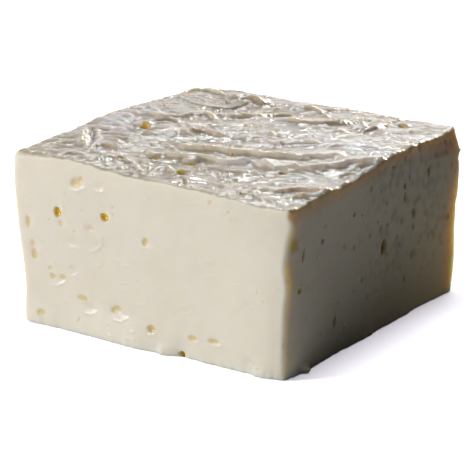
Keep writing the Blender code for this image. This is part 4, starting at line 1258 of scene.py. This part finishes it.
# ---- floor, light and camera -----------------------------------------------
def table(name, colour, glow, depth):
    """A flat square of table, evenly lit and as pale as wanted."""
    data = bpy.data.meshes.new(name)
    half = 6.0
    data.from_pydata([(-half, -half, 0), (half, -half, 0), (half, half, 0), (-half, half, 0)], [], [(0, 1, 2, 3)])
    obj = bpy.data.objects.new(name, data)
    obj.location = (0, 0, -depth)
    bpy.context.scene.collection.objects.link(obj)
    mat = bpy.data.materials.new(name)
    g = Graph(mat)
    g.bsdf.inputs["Base Color"].default_value = colour
    g.bsdf.inputs["Roughness"].default_value = 0.9
    g.bsdf.inputs["Specular IOR Level"].default_value = 0.0
    g.bsdf.inputs["Emission Color"].default_value = glow
    g.bsdf.inputs["Emission Strength"].default_value = 1.0
    # a faint unevenness, so that the table is not one flat tone
    where = g.node("ShaderNodeTexCoord").outputs["Object"]
    tone = g.noise(where, 9.0, 2.0)
    pale = tuple(0.985 * c for c in colour[:3]) + (1,)
    g.put(g.bsdf.inputs["Base Color"], g.mix(tone, colour, pale))
    if glow[0]:
        # beyond the reach of its lights the seen table stays as pale as under them
        run = g.node("ShaderNodeVectorMath")
        run.operation = "LENGTH"
        g.put(run.inputs[0], where)
        g.put(g.bsdf.inputs["Emission Color"], g.mix(g.ramp(run.outputs["Value"], 0.42, 1.4), glow, (1.1, 1.1, 1.1, 1)))
    data.materials.append(mat)
    return obj


# the table that is seen, and the same table as it lights the block from below
floor = table("floor", (0.95, 0.95, 0.95, 1), FLOOR_GLOW, 0.00005)
for ray in ("diffuse", "glossy", "transmission", "shadow", "volume_scatter"):
    setattr(floor, "visible_" + ray, False)
bounce = table("floor_bounce", FLOOR_BOUNCE, (0, 0, 0, 1), 0.0002)
bounce.visible_camera = False

# a dim card behind the block keeps the raking light off the back side
data = bpy.data.meshes.new("card")
data.from_pydata([(-0.09, 0.052, -0.001), (CARD_END, 0.052, -0.001), (CARD_END, 0.052, CARD_TOP), (-0.09, 0.052, CARD_TOP)],
                 [], [(0, 1, 2, 3)])
card = bpy.data.objects.new("card", data)
bpy.context.scene.collection.objects.link(card)
for ray in ("camera", "diffuse", "glossy", "transmission", "volume_scatter"):
    setattr(card, "visible_" + ray, False)
gauze = bpy.data.materials.new("card")
gauze.use_nodes = True
gauze.node_tree.nodes.remove(gauze.node_tree.nodes["Principled BSDF"])
sheer = gauze.node_tree.nodes.new("ShaderNodeBsdfTransparent")
sheer.inputs[0].default_value = (CARD_PASS, CARD_PASS, CARD_PASS, 1)
gauze.node_tree.links.new(sheer.outputs[0], gauze.node_tree.nodes["Material Output"].inputs["Surface"])
data.materials.append(gauze)
only = {}
for name, lit in (("block", (block,)), ("floor", (floor,)), ("table", (floor, bounce))):
    only[name] = bpy.data.collections.new("lit_" + name)
    for obj in lit:
        only[name].objects.link(obj)


shade = {}
for name, things in (("all", (block, bounce)), ("carded", (block, bounce, card))):
    shade[name] = bpy.data.collections.new("shade_" + name)
    for obj in things:
        shade[name].objects.link(obj)


def area_light(name, at, target, size, power, colour, lights_up):
    data = bpy.data.lights.new(name, "AREA")
    data.shape = "RECTANGLE"
    data.size, data.size_y = size
    data.energy = power
    data.color = colour
    obj = bpy.data.objects.new(name, data)
    obj.location = at
    obj.rotation_mode = "QUATERNION"
    obj.rotation_quaternion = (Vector(target) - Vector(at)).to_track_quat("-Z", "Y")
    obj.visible_camera = False
    bpy.context.scene.collection.objects.link(obj)
    obj.light_linking.receiver_collection = only[lights_up]
    obj.light_linking.blocker_collection = shade["carded" if name in ("rake", "low_behind") else "all"]
    return obj


def place(azimuth, elevation, distance):
    """A point round the block; azimuth 0 is in front of its -Y side, 90 of its +X side."""
    a, e = math.radians(azimuth), math.radians(elevation)
    return (math.sin(a) * math.cos(e) * distance, -math.cos(a) * math.cos(e) * distance,
            math.sin(e) * distance + 0.02)


for name, az, el, dist, size, power, colour, lights_up in LIGHTS:
    area_light(name, place(az, el, dist), (0, 0, 0.02), size, power, colour, lights_up)

world = bpy.data.worlds.new("studio")
bpy.context.scene.world = world
world.use_nodes = True
wt = world.node_tree
bg = wt.nodes["Background"]
out = wt.nodes["World Output"]
bg.inputs[0].default_value = (*WORLD_LIGHT, 1)
bg.inputs[1].default_value = 1.0
seen = wt.nodes.new("ShaderNodeBackground")
seen.inputs[0].default_value = (1, 1, 1, 1)
seen.inputs[1].default_value = 1.6
path = wt.nodes.new("ShaderNodeLightPath")
mixw = wt.nodes.new("ShaderNodeMixShader")
wt.links.new(path.outputs["Is Camera Ray"], mixw.inputs[0])
wt.links.new(bg.outputs[0], mixw.inputs[1])
wt.links.new(seen.outputs[0], mixw.inputs[2])
wt.links.new(mixw.outputs[0], out.inputs[0])

YAW, PITCH, DIST, OX, OY, FOCAL = math.radians(34.1), math.radians(18.53), 596.7, -1.165, -3.275, 2440.8
back = np.array([math.sin(YAW) * math.cos(PITCH), -math.cos(YAW) * math.cos(PITCH), math.sin(PITCH)])
right = np.array([math.cos(YAW), math.sin(YAW), 0.0])
up = np.cross(back, right)
cam_at = back * DIST + right * OX + up * OY + np.array([0, 0, 21.0]) - centre
cam_data = bpy.data.cameras.new("camera")
cam_data.sensor_width = 36.0
cam_data.lens = FOCAL / 474.0 * 36.0
cam_data.clip_start, cam_data.clip_end = 0.01, 50.0
camera = bpy.data.objects.new("camera", cam_data)
camera.matrix_world = Matrix([
    (right[0], up[0], back[0], cam_at[0] * MM),
    (right[1], up[1], back[1], cam_at[1] * MM),
    (right[2], up[2], back[2], cam_at[2] * MM),
    (0, 0, 0, 1)])
bpy.context.scene.collection.objects.link(camera)
bpy.context.scene.camera = camera
bpy.context.scene.view_settings.view_transform = "Standard"
bpy.context.scene.view_settings.look = "None"
